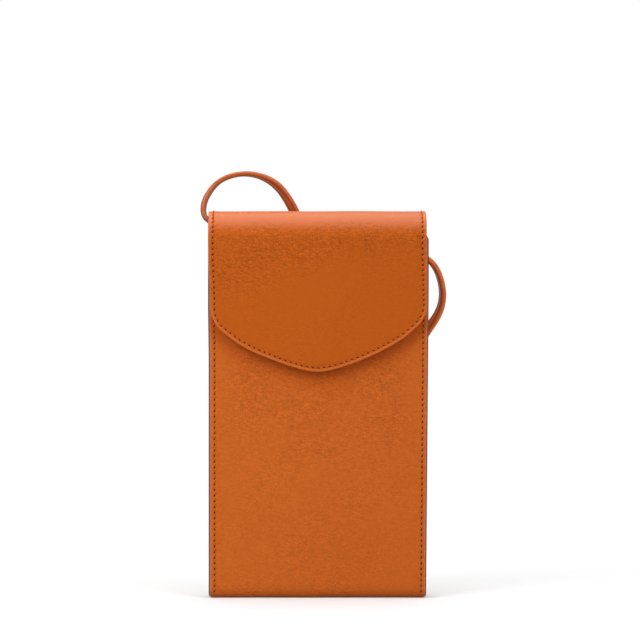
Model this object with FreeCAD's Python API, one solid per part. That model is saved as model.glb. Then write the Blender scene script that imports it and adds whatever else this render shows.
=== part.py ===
import FreeCAD, Part
import math
import os

# A leather phone pouch on a long shoulder strap, standing on its bottom fold.
# Millimetres, +Z up, the flap and front panel face -Y, origin on the floor under the middle of the body.

# Hides and fits
leather = 1.5               # main hide: body and flap
lining = 0.8                # inner layer of the flap
gusset_leather = 1.2        # side gussets
seam_gap = 0.05             # glue line between two layers that are sewn together
fold_slit = 0.3             # slit between the two sides of a fold
overrun = 2.0               # how far a cut runs past the face that it cuts

# Body
body_width = 106.0          # front and back panel, edge to edge
body_depth = 20.0           # front panel face to back panel face
overall_height = 188.5      # floor to the top of the roll
mouth_drop = 11.6           # top of the roll down to the rim of the front panel
bottom_radius = 4.5         # outside radius of the two bottom folds

# Flap
flap_width = 104.5
flap_drop = 78.5            # top of the roll down to the tip
back_roll_radius = 9.5      # outside radius where the back panel rolls forward
top_band = 1.0              # flat between the two rolls
tip_radius = 40.0           # soft point at the middle of the lower edge
corner_radius = 12.0        # where the lower edge meets the sides
tip_turn = math.radians(15.0)
lower_edge_turn = math.radians(38.0)
half_roll = math.radians(45.0)

# Side gussets, folded inwards between the panels
gusset_flange = 5.5         # width of the strip sewn to a panel
gusset_valley = 9.0         # panel edge in to the floor of the fold
gusset_floor = 8.0          # width of that floor

# Magnetic snap
snap_rise = 15.0            # flap tip up to the snap
socket_diameter = 14.0
socket_height = 1.7
socket_wall = 1.0
pin_bore = 4.8
pin_bore_depth = 1.3
stud_diameter = 13.0
stud_plate = 0.5
snap_clearance = 0.3        # between socket and stud plate when shut
pin_diameter = 3.6
pin_length = 1.2
rivet_diameter = 3.0        # stem through the leather
rivet_clearance = 0.1
magnet_clearance = 0.1
socket_cap_diameter = 9.0
stud_cap_diameter = 8.0
cap_height = 0.5
cap_clearance = 0.1
patch_diameter = 20.0       # leather disc inside, over the rivet cap
patch_leather = 1.2

# Thread
thread_radius = 0.3
stitch_pitch = 2.75
stitch_length = 1.9
seam_inset = 2.4            # front and back seams, in from the panel edge
flap_seam_inset = 1.9       # flap seam, in from the flap edge
seam_margin = 5.0           # seam ends, in from the bottom fold and the rim

# Strap: a flat folded strap, drawn as a round tube of about the same section
strap_tube = 3.6
strap_width = 5.2
strap_exit_drop = 8.9       # rim of the gusset down to the strap's hole
strap_hole_clearance = 0.2
strap_end_length = 15.0     # flat end sewn inside the gusset
strap_end_thickness = 1.6
strap_end_overlap = 3.0     # flat end above the middle of the hole
strap_end_stitches = 3

# Hank of the spare strap, lying on the floor behind the body
hank_half_run = 30.0        # middle of a run to the start of its end loop
hank_fold_radius = 12.5     # innermost end loop
hank_step = 5.4             # between neighbouring rings
hank_waist_draw = 8.0       # runs pulled in at the tie
hank_middle_y = 37.0
hank_layer = 5.4            # lower layer to upper layer
hank_rings = (2, 1, 0, 0, 0, 1, 1)
hank_climb_row = 3
tie_thickness = 0.8
tie_width = 8.0
tie_clearance = 0.3

# Strap routes, chosen point by point: out of the left gusset, over the top and down the back to the hank,
# then from the hank up behind the right edge, round in a loop and into the right gusset.
left_route = [
    (-44.0, 0.0, 168.0), (-46.6, 0.0, 168.0), (-48.6, 0.5, 169.8), (-49.6, 0.8, 173.2),
    (-50.1, 1.0, 177.8), (-52.0, 1.2, 182.6), (-56.4, 2.8, 186.0), (-56.6, 7.7, 192.6),
    (-53.4, 13.1, 199.4), (-48.0, 15.1, 204.9), (-39.0, 16.2, 207.8), (-29.4, 16.8, 207.0),
    (-20.6, 16.6, 202.4), (-14.4, 15.6, 194.0), (-9.8, 14.6, 184.0), (-6.0, 14.0, 171.6),
    (-4.0, 13.7, 158.4), (-4.2, 13.5, 144.4), (-7.6, 13.4, 129.6), (-13.2, 13.4, 113.8),
    (-19.8, 13.4, 98.0), (-26.8, 13.5, 82.6), (-34.0, 13.5, 67.4), (-41.0, 13.6, 52.6),
    (-46.8, 13.7, 39.0), (-49.6, 13.7, 26.0), (-50.0, 13.7, 13.9), (-46.2, 13.7, 7.4),
    (-39.7, 13.7, 3.7), (-34.0, 13.7, 3.7),
]
right_route = [
    (34.0, 19.1, 9.1), (39.5, 19.1, 9.1), (45.3, 18.8, 12.4), (48.6, 18.0, 18.6),
    (49.0, 16.6, 30.4), (47.6, 15.2, 44.4), (46.0, 14.4, 58.2), (44.9, 14.0, 72.0),
    (44.4, 14.0, 86.4), (44.6, 14.0, 100.4), (45.8, 14.2, 113.6), (49.2, 14.2, 124.4),
    (54.4, 13.4, 131.3), (59.4, 11.2, 138.6), (61.4, 8.6, 146.6), (60.3, 6.2, 154.4),
    (57.6, 3.8, 161.2), (53.5, 1.8, 165.4), (50.3, 0.6, 167.3), (47.0, 0.0, 168.0), (44.0, 0.0, 168.0),
]

# Places that follow from the sizes above
half_width = body_width / 2
front_y = -body_depth / 2
back_y = body_depth / 2
mouth_z = overall_height - mouth_drop
flap_inner_y = front_y - socket_height - snap_clearance - stud_plate
flap_seam_y = flap_inner_y - lining
flap_leather_y = flap_seam_y - seam_gap
flap_front_y = flap_leather_y - leather
front_roll_radius = back_y - flap_front_y - back_roll_radius - top_band
flap_layers = leather + seam_gap + lining
tip_z = overall_height - flap_drop
snap_z = tip_z + snap_rise
gusset_half = body_depth / 2 - leather - seam_gap
gusset_floor_x = half_width - gusset_valley
strap_exit_z = mouth_z - strap_exit_drop
hank_rest = tie_thickness + tie_clearance + strap_width / 2
hank_layers_z = (hank_rest, hank_rest + hank_layer)

down = -math.pi / 2
quarter_turn = math.pi / 2
X_axis = FreeCAD.Vector(1, 0, 0)
Y_axis = FreeCAD.Vector(0, 1, 0)
Z_axis = FreeCAD.Vector(0, 0, 1)


def in_profile(point):
    return FreeCAD.Vector(0, point[0], point[1])


def in_front_view(point):
    return FreeCAD.Vector(point[0], 0, point[1])


# A path is a start point, a heading and a list of moves, each (turn, size):
# a straight of that length where the turn is zero, or else a left-hand arc of that radius.

def straight(length):
    return (0, length)


def bend(turn, radius):
    return (turn, radius)


def arc_point(start, heading, turn, radius, inset):
    centre = (start[0] - radius * math.sin(heading), start[1] + radius * math.cos(heading))
    swing = heading + turn
    return (centre[0] + (radius - inset) * math.sin(swing), centre[1] - (radius - inset) * math.cos(swing))


def move_end(start, heading, move):
    turn, size = move
    if turn == 0:
        return (start[0] + size * math.cos(heading), start[1] + size * math.sin(heading)), heading
    return arc_point(start, heading, turn, size, 0), heading + turn


def walk(start, heading, moves):
    for move in moves:
        start, heading = move_end(start, heading, move)
    return start, heading


def beside(point, heading, inset):
    return (point[0] - inset * math.sin(heading), point[1] + inset * math.cos(heading))


def path_edges(start, heading, moves, inset, to_space):
    edges = []
    for turn, size in moves:
        end, next_heading = move_end(start, heading, (turn, size))
        first = to_space(beside(start, heading, inset))
        last = to_space(beside(end, next_heading, inset))
        if turn == 0:
            edges.append(Part.LineSegment(first, last).toShape())
        else:
            middle = to_space(arc_point(start, heading, turn / 2, size, inset))
            edges.append(Part.Arc(first, middle, last).toShape())
        start, heading = end, next_heading
    return edges


def move_length(move):
    turn, size = move
    return size if turn == 0 else turn * size


def station(start, heading, moves, distance):
    for turn, size in moves:
        length = move_length((turn, size))
        if distance <= length:
            part = straight(distance) if turn == 0 else bend(distance / size, size)
            return move_end(start, heading, part)
        distance -= length
        start, heading = move_end(start, heading, (turn, size))
    return start, heading


def sheet(start, heading, moves, outer, inner, width):
    """Leather between two insets of a profile path, as wide as it is along X."""
    outside = path_edges(start, heading, moves, outer, in_profile)
    inside = path_edges(start, heading, moves, inner, in_profile)
    end, end_heading = walk(start, heading, moves)
    caps = []
    for point, angle in ((start, heading), (end, end_heading)):
        first = in_profile(beside(point, angle, outer))
        last = in_profile(beside(point, angle, inner))
        caps.append(Part.LineSegment(first, last).toShape())
    wire = Part.Wire(Part.__sortEdges__(outside + inside + caps))
    solid = Part.Face(wire).extrude(X_axis * width)
    solid.translate(X_axis * (-width / 2))
    return solid


# The leather's outer face, from the rim of the front panel down, under, up the back and over the top
rim = (front_y, mouth_z)
roll_start_z = overall_height - back_roll_radius
pocket_moves = [
    straight(mouth_z - bottom_radius),
    bend(quarter_turn, bottom_radius),
    straight(body_depth - 2 * bottom_radius),
    bend(quarter_turn, bottom_radius),
]
back_slit = fold_slit / 2 / back_roll_radius
front_slit = fold_slit / 2 / front_roll_radius
wrap_moves = pocket_moves + [
    straight(roll_start_z - bottom_radius),
    bend(half_roll - back_slit, back_roll_radius),
]
back_fold, back_fold_heading = walk(rim, down, wrap_moves + [bend(back_slit, back_roll_radius)])
top_moves = [
    bend(half_roll - back_slit, back_roll_radius),
    straight(top_band),
    bend(half_roll - front_slit, front_roll_radius),
]
top_start, top_heading = walk(back_fold, back_fold_heading, [bend(back_slit, back_roll_radius)])
top_end, top_end_heading = walk(top_start, top_heading, top_moves)
front_fold, front_fold_heading = walk(top_end, top_end_heading, [bend(front_slit, front_roll_radius)])
flap_start, flap_heading = walk(front_fold, front_fold_heading, [bend(front_slit, front_roll_radius)])
flap_flat_z = overall_height - front_roll_radius
front_moves = [
    bend(half_roll - front_slit, front_roll_radius),
    straight(flap_flat_z - tip_z),
]

# The flap's outline seen from the front: half of it, from the tip to the shoulder
lower_edge_radius = (
    flap_width / 2 - tip_radius * math.sin(tip_turn) - corner_radius * (1 - math.sin(lower_edge_turn))
) / (math.sin(lower_edge_turn) - math.sin(tip_turn))
tip = (0, tip_z)
lower_edge_moves = [
    bend(tip_turn, tip_radius),
    bend(lower_edge_turn - tip_turn, lower_edge_radius),
    bend(quarter_turn - lower_edge_turn, corner_radius),
]
shoulder, _ = walk(tip, 0, lower_edge_moves)


def mirrored(shape):
    return shape.mirror(FreeCAD.Vector(0, 0, 0), X_axis)


def flap_outline():
    """A block as deep as the flap, with the flap's outline seen from the front."""
    rise = overall_height + overrun - shoulder[1]
    right = path_edges(tip, 0, lower_edge_moves + [straight(rise)], 0, in_front_view)
    left = [mirrored(edge) for edge in right]
    top = overall_height + overrun
    lid = Part.LineSegment(in_front_view((-shoulder[0], top)), in_front_view((shoulder[0], top))).toShape()
    face = Part.Face(Part.Wire(Part.__sortEdges__(right + left + [lid])))
    block = face.extrude(Y_axis * (2 * (back_y - flap_front_y)))
    block.translate(Y_axis * (flap_front_y - (back_y - flap_front_y) / 2))
    return block


def disc(diameter, height, y, z=snap_z):
    """A round piece on the snap's line, from y backwards."""
    return Part.makeCylinder(diameter / 2, height, FreeCAD.Vector(0, y, z), Y_axis)


def body_wrap():
    wrap = sheet(rim, down, wrap_moves, 0, leather, body_width)
    hole = disc(rivet_diameter + 2 * rivet_clearance, leather + 2 * overrun, front_y - overrun)
    return wrap.cut(hole)


def flap_top_leather():
    return sheet(top_start, top_heading, top_moves, 0, leather, flap_width)


def flap_top_lining():
    return sheet(top_start, top_heading, top_moves, leather + seam_gap, flap_layers, flap_width)


def flap_front_leather():
    flap = sheet(flap_start, flap_heading, front_moves, 0, leather, flap_width)
    seat = cap_height + cap_clearance
    recess = disc(stud_cap_diameter + 2 * cap_clearance, seat + seam_gap, flap_leather_y - seat)
    return flap.common(flap_outline()).cut(recess)


def flap_front_lining():
    flap = sheet(flap_start, flap_heading, front_moves, leather + seam_gap, flap_layers, flap_width)
    hole = disc(rivet_diameter + 2 * rivet_clearance, lining + 2 * overrun, flap_seam_y - overrun)
    return flap.common(flap_outline()).cut(hole)


def gusset_right():
    outer = gusset_half
    inner = gusset_half - gusset_leather
    edge = half_width
    root = edge - gusset_flange
    half_floor = gusset_floor / 2
    lean = (root - gusset_floor_x) / (inner - half_floor)
    skin = gusset_leather * math.sqrt(1 + lean * lean)
    inner_floor_x = gusset_floor_x - gusset_leather
    inner_half_floor = half_floor + (skin - gusset_leather) / lean
    outer_root = root + lean * (outer - inner) - skin
    corners = [
        (edge, -outer), (outer_root, -outer), (inner_floor_x, -inner_half_floor),
        (inner_floor_x, inner_half_floor), (outer_root, outer), (edge, outer),
        (edge, inner), (root, inner), (gusset_floor_x, half_floor),
        (gusset_floor_x, -half_floor), (root, -inner), (edge, -inner),
    ]
    points = [FreeCAD.Vector(x, y, 0) for x, y in corners]
    face = Part.Face(Part.makePolygon(points + points[:1]))
    blank = face.extrude(Z_axis * mouth_z)
    inset = leather + seam_gap
    pocket_sides = pocket_moves + [straight(mouth_z - bottom_radius)]
    edges = path_edges(rim, down, pocket_sides, inset, in_profile)
    lid = Part.LineSegment(edges[0].Vertexes[0].Point, edges[-1].Vertexes[-1].Point).toShape()
    pocket = Part.Face(Part.Wire(Part.__sortEdges__(edges + [lid]))).extrude(X_axis * body_width)
    hole_radius = strap_tube / 2 + strap_hole_clearance
    hole_start = FreeCAD.Vector(inner_floor_x - overrun, 0, strap_exit_z)
    hole = Part.makeCylinder(hole_radius, gusset_leather + 2 * overrun, hole_start, X_axis)
    return blank.common(pocket).cut(hole)


def strap_end_right():
    """The strap's last stretch: through the gusset, then flat and sewn down inside."""
    inner_face = gusset_floor_x - gusset_leather - seam_gap
    stem_start = FreeCAD.Vector(inner_face - strap_end_thickness / 2, 0, strap_exit_z)
    stem_length = gusset_floor_x - stem_start.x
    stem = Part.makeCylinder(strap_tube / 2, stem_length, stem_start, X_axis)
    corner = FreeCAD.Vector(
        inner_face - strap_end_thickness, -strap_width / 2, strap_exit_z + strap_end_overlap - strap_end_length
    )
    flat = Part.makeBox(strap_end_thickness, strap_width, strap_end_length, corner)
    return flat.fuse(stem).removeSplitter()


def snap_socket_case():
    case = disc(socket_diameter, socket_height, front_y - socket_height)
    bore = disc(pin_bore, pin_bore_depth, front_y - socket_height)
    cavity_depth = socket_height - socket_wall / 2
    cavity = disc(socket_diameter - 2 * socket_wall, cavity_depth, front_y - cavity_depth)
    core = disc(pin_bore + 2 * socket_wall, cavity_depth, front_y - cavity_depth)
    stem = disc(rivet_diameter, leather + cap_height, front_y)
    return case.cut(cavity.cut(core)).cut(bore).fuse(stem).removeSplitter()


def snap_magnet():
    height = socket_height - socket_wall / 2 - magnet_clearance
    outside = disc(socket_diameter - 2 * (socket_wall + magnet_clearance), height, front_y - height)
    inside = disc(pin_bore + 2 * (socket_wall + magnet_clearance), height, front_y - height)
    return outside.cut(inside)


def rivet_cap(diameter, y):
    hole = disc(rivet_diameter + 2 * rivet_clearance, cap_height, y)
    return disc(diameter, cap_height, y).cut(hole)


def snap_patch():
    inner_y = front_y + leather
    pocket = disc(socket_cap_diameter + 2 * cap_clearance, cap_height + cap_clearance, inner_y)
    return disc(patch_diameter, patch_leather, inner_y).cut(pocket)


def snap_stud():
    plate = disc(stud_diameter, stud_plate, flap_inner_y)
    pin = disc(pin_diameter, stud_plate + pin_length, flap_inner_y)
    stem_length = lining + seam_gap + cap_height
    stem = disc(rivet_diameter, stem_length, flap_inner_y - stem_length)
    return plate.fuse([pin, stem]).removeSplitter()


def stitch(place, along, outward):
    """One stitch lying on the leather: a half-round bar with its flat side down."""
    bar = Part.makeCylinder(thread_radius, stitch_length, place - along * (stitch_length / 2), along, 180)
    across = along.cross(outward)
    lift = bar.CenterOfMass - place
    angle = math.degrees(math.atan2(lift.dot(across), lift.dot(outward)))
    bar.rotate(place, along, -angle)
    return bar


def group(solids):
    return Part.makeCompound(solids)


def seam_places(length):
    count = int(length / stitch_pitch)
    first = (length - (count - 1) * stitch_pitch) / 2
    return [first + index * stitch_pitch for index in range(count)]


def panel_seam_right(face_y, outward):
    low = bottom_radius + thread_radius
    run = mouth_z - seam_margin - low
    x = half_width - seam_inset
    places = [FreeCAD.Vector(x, face_y, low + rise) for rise in seam_places(run)]
    return group([stitch(place, Z_axis, outward) for place in places])


def profile_seam(start, heading, moves):
    """Stitches down both sides of a stretch of the flap."""
    x = flap_width / 2 - flap_seam_inset
    stitches = []
    for distance in seam_places(sum(move_length(move) for move in moves)):
        point, angle = station(start, heading, moves, distance)
        along = in_profile((math.cos(angle), math.sin(angle)))
        outward = in_profile((math.sin(angle), -math.cos(angle)))
        for side in (-x, x):
            place = in_profile(point) + X_axis * side
            stitches.append(stitch(place, along, outward))
    return stitches


def flap_edge_thread():
    side_moves = front_moves[:1] + [straight(flap_flat_z - shoulder[1])]
    stitches = profile_seam(flap_start, flap_heading, side_moves)
    inset_moves = [bend(turn, radius - flap_seam_inset) for turn, radius in lower_edge_moves]
    inset_tip = (0, tip_z + flap_seam_inset)
    for distance in seam_places(sum(move_length(move) for move in inset_moves)):
        point, angle = station(inset_tip, 0, inset_moves, distance)
        for side in (-1, 1):
            place = FreeCAD.Vector(side * point[0], flap_front_y, point[1])
            along = in_front_view((side * math.cos(angle), math.sin(angle)))
            stitches.append(stitch(place, along, -Y_axis))
    return group(stitches)


def strap_end_thread_right():
    """Stitches that hold the strap's flat end, seen inside the pouch."""
    face_x = gusset_floor_x - gusset_leather - seam_gap - strap_end_thickness
    top = strap_exit_z - strap_tube / 2
    stitches = []
    for index in range(strap_end_stitches):
        place = FreeCAD.Vector(face_x, 0, top - (index + 1) * stitch_pitch + stitch_length / 2)
        stitches.append(stitch(place, Z_axis, -X_axis))
    return group(stitches)


# The strap's tubes

def tube(name, edges, start, heading):
    wire = Part.Wire(edges)
    circle = Part.Wire(Part.makeCircle(strap_tube / 2, start, heading))
    solid = wire.makePipeShell([circle], True, False)
    section = math.pi * (strap_tube / 2) ** 2
    print(name, "length %.1f" % wire.Length, "volume share %.4f" % (solid.Volume / (section * wire.Length)))
    return solid, wire


def route_edges(name, route):
    """Straight runs joined by tangent arcs as large as the shorter run allows."""
    points = [FreeCAD.Vector(*point) for point in route]
    reach_share = 0.45
    edges = []
    radii = []
    last = points[0]
    for before, here, after in zip(points, points[1:], points[2:]):
        arriving = (here - before).normalize()
        leaving = (after - here).normalize()
        half_turn = arriving.getAngle(leaving) / 2
        reach = reach_share * min((here - before).Length, (after - here).Length)
        radius = reach / math.tan(half_turn)
        first = here - arriving * reach
        end = here + leaving * reach
        inward = (leaving - arriving).normalize()
        middle = here + inward * (radius / math.cos(half_turn) - radius)
        edges.append(Part.LineSegment(last, first).toShape())
        edges.append(Part.Arc(first, middle, end).toShape())
        radii.append(radius)
        last = end
    edges.append(Part.LineSegment(last, points[-1]).toShape())
    print(name, "radii", " ".join("%.1f" % radius for radius in radii))
    return edges


def strap_run(name, route):
    start = FreeCAD.Vector(*route[0])
    heading = (FreeCAD.Vector(*route[1]) - start).normalize()
    return tube(name, route_edges(name, route), start, heading)[0]


def s_bend(start, end, heading):
    """Two equal arcs from start to end that leave and arrive along the same heading."""
    centre = (start + end) / 2
    chord = centre - start
    half_turn = heading.getAngle(chord)
    toward = chord.normalize()
    chord = centre - start
    outward = (heading - toward * heading.dot(toward)).normalize()
    first_middle = start + chord / 2 + outward * (chord.Length / 2 * math.tan(half_turn / 2))
    second_middle = start + end - first_middle
    return [Part.Arc(start, first_middle, centre).toShape(), Part.Arc(centre, second_middle, end).toShape()]


def hank_row(index):
    """Start, waist and end of one run of the hank, with the way that it heads."""
    way = 1 if index % 2 == 0 else -1
    offset = -way * (hank_fold_radius + hank_rings[index] * hank_step)
    waist = offset + way * hank_waist_draw
    low = hank_layers_z[0] if index <= hank_climb_row else hank_layers_z[1]
    high = hank_layers_z[0] if index < hank_climb_row else hank_layers_z[1]
    start = FreeCAD.Vector(-way * hank_half_run, hank_middle_y + offset, low)
    middle = FreeCAD.Vector(0, hank_middle_y + waist, (low + high) / 2)
    end = FreeCAD.Vector(way * hank_half_run, hank_middle_y + offset, high)
    return start, middle, end, X_axis * way


def hank_edges():
    rows = [hank_row(index) for index in range(len(hank_rings))]
    first = rows[0][0] - rows[0][3] * strap_tube
    edges = [Part.LineSegment(first, rows[0][0]).toShape()]
    for index, (start, middle, end, heading) in enumerate(rows):
        edges += s_bend(start, middle, heading) + s_bend(middle, end, heading)
        if index + 1 < len(rows):
            following = rows[index + 1][0]
            far = (end + following) / 2 + heading * ((following - end).Length / 2)
            edges.append(Part.Arc(end, far, following).toShape())
    last = rows[-1][2] + rows[-1][3] * strap_tube
    edges.append(Part.LineSegment(rows[-1][2], last).toShape())
    return edges, first, rows[0][3]


def least_gap(wire):
    """Smallest clear distance between two stretches of the hank, measured on points along it."""
    points = wire.discretize(Distance=strap_tube / 4)
    apart = 16
    least = min(
        points[first].distanceToPoint(points[second])
        for first in range(len(points))
        for second in range(first + apart, len(points))
    )
    return least - strap_tube


def strap_hank():
    edges, start, heading = hank_edges()
    solid, wire = tube("strap_hank", edges, start, heading)
    print("strap_hank least gap to itself %.2f" % least_gap(wire))
    return solid


def hank_tie():
    """A flat band round the waist of the hank."""
    waists = [hank_row(index)[1].y for index in range(len(hank_rings))]
    reach = strap_tube / 2 + tie_clearance
    rise = strap_width / 2 + tie_clearance
    low = FreeCAD.Vector(-tie_width / 2, min(waists) - reach, hank_layers_z[0] - rise)
    size = (tie_width, max(waists) - min(waists) + 2 * reach, hank_layer + 2 * rise)
    inside = Part.makeBox(*size, low)
    skin = FreeCAD.Vector(0, tie_thickness, tie_thickness)
    outside = Part.makeBox(size[0], size[1] + 2 * tie_thickness, size[2] + 2 * tie_thickness, low - skin)
    return outside.cut(inside)


nodes = {
    "body_wrap": body_wrap(),
    "gusset_right": gusset_right(),
    "seam_thread_front_right": panel_seam_right(front_y, -Y_axis),
    "seam_thread_back_right": panel_seam_right(back_y, Y_axis),
    "snap_socket_case": snap_socket_case(),
    "snap_magnet": snap_magnet(),
    "snap_socket_cap": rivet_cap(socket_cap_diameter, front_y + leather),
    "snap_patch": snap_patch(),
    "snap_stud": snap_stud(),
    "snap_stud_cap": rivet_cap(stud_cap_diameter, flap_leather_y - cap_height),
    "flap_top_leather": flap_top_leather(),
    "flap_top_lining": flap_top_lining(),
    "flap_top_thread": group(profile_seam(top_start, top_heading, top_moves)),
    "flap_front_leather": flap_front_leather(),
    "flap_front_lining": flap_front_lining(),
    "flap_edge_thread": flap_edge_thread(),
    "strap_end_right": strap_end_right(),
    "strap_end_thread_right": strap_end_thread_right(),
    "strap_left": strap_run("strap_left", left_route),
    "strap_hank": strap_hank(),
    "strap_right": strap_run("strap_right", right_route),
    "hank_tie": hank_tie(),
}
for name in list(nodes):
    if name.endswith("_right") and name != "strap_right":
        nodes[name[: -len("right")] + "left"] = mirrored(nodes[name])

os.makedirs("parts", exist_ok=True)
for name, shape in nodes.items():
    shape.exportStep("parts/" + name + ".step")
    box = shape.BoundBox
    print(
        "%-24s solids %3d valid %s volume %9.1f  x %6.1f %6.1f  y %6.1f %6.1f  z %6.1f %6.1f"
        % (
            name, len(shape.Solids), shape.isValid(), shape.Volume,
            box.XMin, box.XMax, box.YMin, box.YMax, box.ZMin, box.ZMax,
        )
    )
print("back fold axis y %.3f z %.3f" % back_fold, " front fold axis y %.3f z %.3f" % front_fold)
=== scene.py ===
import math
import bpy
import numpy as np
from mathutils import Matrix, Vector, geometry


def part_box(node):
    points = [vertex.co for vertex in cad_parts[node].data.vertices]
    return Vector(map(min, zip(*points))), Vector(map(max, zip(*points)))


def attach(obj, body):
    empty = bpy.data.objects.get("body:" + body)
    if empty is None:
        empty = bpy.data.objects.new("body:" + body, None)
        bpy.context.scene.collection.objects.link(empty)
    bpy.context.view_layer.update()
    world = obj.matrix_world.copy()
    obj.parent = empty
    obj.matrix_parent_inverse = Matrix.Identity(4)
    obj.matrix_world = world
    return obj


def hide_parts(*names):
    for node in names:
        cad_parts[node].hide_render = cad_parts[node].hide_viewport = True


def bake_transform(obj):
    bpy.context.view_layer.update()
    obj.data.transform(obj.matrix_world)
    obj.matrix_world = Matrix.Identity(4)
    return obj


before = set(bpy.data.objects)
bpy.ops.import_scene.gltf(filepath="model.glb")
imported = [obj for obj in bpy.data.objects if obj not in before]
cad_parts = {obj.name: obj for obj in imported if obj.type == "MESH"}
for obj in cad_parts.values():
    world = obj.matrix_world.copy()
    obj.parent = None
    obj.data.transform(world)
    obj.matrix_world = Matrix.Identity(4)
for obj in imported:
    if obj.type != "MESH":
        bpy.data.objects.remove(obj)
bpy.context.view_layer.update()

mm = 0.001
quarter = math.pi / 2
fullTurn = 4 * quarter
scene = bpy.context.scene
scene.view_settings.view_transform = "Standard"

# Places that the frame gives
bodyLow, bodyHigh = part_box("body_wrap")
flapLow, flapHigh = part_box("flap_front_leather")
gussetLow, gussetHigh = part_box("gusset_right")
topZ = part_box("flap_top_leather")[1].z
frontY, backY, halfBody = bodyLow.y, bodyHigh.y, bodyHigh.x
flapFaceY, tipZ, halfFlap = flapLow.y, flapLow.z, flapHigh.x
mouthZ, gussetFoot = gussetHigh.z, gussetLow.z
print("frame loaded")


# Camera, lamps and floor
camera = {
    "side": 640,                    # picture side in pixels
    "pixel": 0.4865 * mm,           # one pixel, on the front panel
    "column": 318.5,                # pixel column of the pouch's middle
    "row": 598.0,                   # pixel row of the floor under the front panel
    "distance": 1600 * mm,
    "sensor": 36.0,
    "farthest": 20.0,
}


def addCamera():
    data = bpy.data.cameras.new("camera")
    half = camera["side"] / 2
    data.sensor_width = camera["sensor"]
    data.lens = camera["sensor"] * camera["distance"] / (camera["side"] * camera["pixel"])
    data.clip_end = camera["farthest"]
    made = bpy.data.objects.new("camera", data)
    made.location = (
        (half - camera["column"]) * camera["pixel"],
        frontY - camera["distance"],
        (camera["row"] - half) * camera["pixel"],
    )
    made.rotation_euler = (quarter, 0, 0)
    scene.collection.objects.link(made)
    scene.camera = made


lamps = {                           # place, aim, size, watts
    "overhead": ((0.0, 0.04, 0.99), (0.0, 0.04, 0.0), (0.5, 1.36), 8.0),
    "frontLeft": ((-1.0, -1.25, 1.20), (0.0, 0.0, 0.10), (0.9, 1.1), 15.4),
    "frontRight": ((1.1, -1.25, 1.10), (0.0, 0.0, 0.10), (0.9, 1.1), 9.0),
}


def addLamps():
    for name, (place, aim, size, watts) in lamps.items():
        data = bpy.data.lights.new(name, "AREA")
        data.shape = "RECTANGLE"
        data.size, data.size_y = size
        data.energy = watts
        made = bpy.data.objects.new(name, data)
        made.location = place
        made.rotation_euler = (Vector(aim) - Vector(place)).to_track_quat("-Z", "Y").to_euler()
        scene.collection.objects.link(made)


# Shader sums: a wrapped socket takes part in Python expressions
class Wire:
    def __init__(self, recipe, socket):
        self.recipe, self.socket = recipe, socket

    def sum(self, operation, first, second):
        pair = (first, second)
        vector = any(isinstance(x, Wire) and x.socket.type == "VECTOR" for x in pair)
        kind = "ShaderNodeVectorMath" if vector else "ShaderNodeMath"
        if vector:
            pair = [x if isinstance(x, (Wire, tuple)) else (x, x, x) for x in pair]
        return self.recipe.node(kind, {"operation": operation}, dict(enumerate(pair)))

    def __add__(self, other):
        return self.sum("ADD", self, other)

    def __radd__(self, other):
        return self.sum("ADD", other, self)

    def __sub__(self, other):
        return self.sum("SUBTRACT", self, other)

    def __rsub__(self, other):
        return self.sum("SUBTRACT", other, self)

    def __mul__(self, other):
        return self.sum("MULTIPLY", self, other)

    def __rmul__(self, other):
        return self.sum("MULTIPLY", other, self)


class Recipe:
    def __init__(self, name, tree=None):
        if tree is None:
            self.material = bpy.data.materials.new(name)
            self.material.use_nodes = True
            tree = self.material.node_tree
        self.tree = tree
        tree.nodes.clear()

    def node(self, kind, settings=None, values=None, out=0):
        made = self.tree.nodes.new(kind)
        for key, value in (settings or {}).items():
            setattr(made, key, value)
        for key, value in (values or {}).items():
            if isinstance(value, Wire):
                self.tree.links.new(value.socket, made.inputs[key])
            else:
                made.inputs[key].default_value = value
        return None if out is None else Wire(self, made.outputs[out])

    def attribute(self, name, out=2):               # output 2 is its value, 1 its vector
        return self.node("ShaderNodeAttribute", {"attribute_name": name}, out=out)

    def part(self, vector, axis):
        return self.node("ShaderNodeSeparateXYZ", None, {0: vector}, axis)

    def mix(self, factor, first, second, blend="MIX"):      # sockets 6 and 7 and output 2 are its colours
        settings = {"data_type": "RGBA", "blend_type": blend}
        return self.node("ShaderNodeMix", settings, {0: factor, 6: first, 7: second}, 2)

    def step(self, value, low, high, toLow=0.0, toHigh=1.0):
        settings = {"interpolation_type": "SMOOTHSTEP"}
        values = {0: value, 1: low, 2: high, 3: toLow, 4: toHigh}
        return self.node("ShaderNodeMapRange", settings, values)

    def noise(self, vector, scale, detail=2.0, roughness=0.5, out=0):   # output 0 is its value, 1 its colour
        values = {"Vector": vector, "Scale": scale, "Detail": detail, "Roughness": roughness}
        return self.node("ShaderNodeTexNoise", None, values, out)

    def bump(self, height, distance):
        return self.node("ShaderNodeBump", None, {"Height": height, "Distance": distance, "Strength": 1.0})

    def surface(self, values):
        shader = self.node("ShaderNodeBsdfPrincipled", None, values)
        self.node("ShaderNodeOutputMaterial", None, {0: shader}, None)
        return self.material


def rgb(red, green, blue):
    return (red, green, blue, 1.0)


white = rgb(1.0, 1.0, 1.0)
noiseMean = 0.5


def seenRay(recipe):                # rays that look at the backdrop, straight or by a mirror
    ways = [recipe.node("ShaderNodeLightPath", out=name) for name in
            ("Is Camera Ray", "Is Glossy Ray", "Is Transmission Ray")]
    return ways[0] + ways[1] + ways[2]


floor = {
    "size": 6.0, "drop": 0.15 * mm, "colour": rgb(0.55, 0.55, 0.55), "pale": rgb(0.86, 0.86, 0.86),
    "shadow": 0.75, "near": 0.05, "reach": 0.35,    # how much of its shading shows, and where that fades out
}


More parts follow.
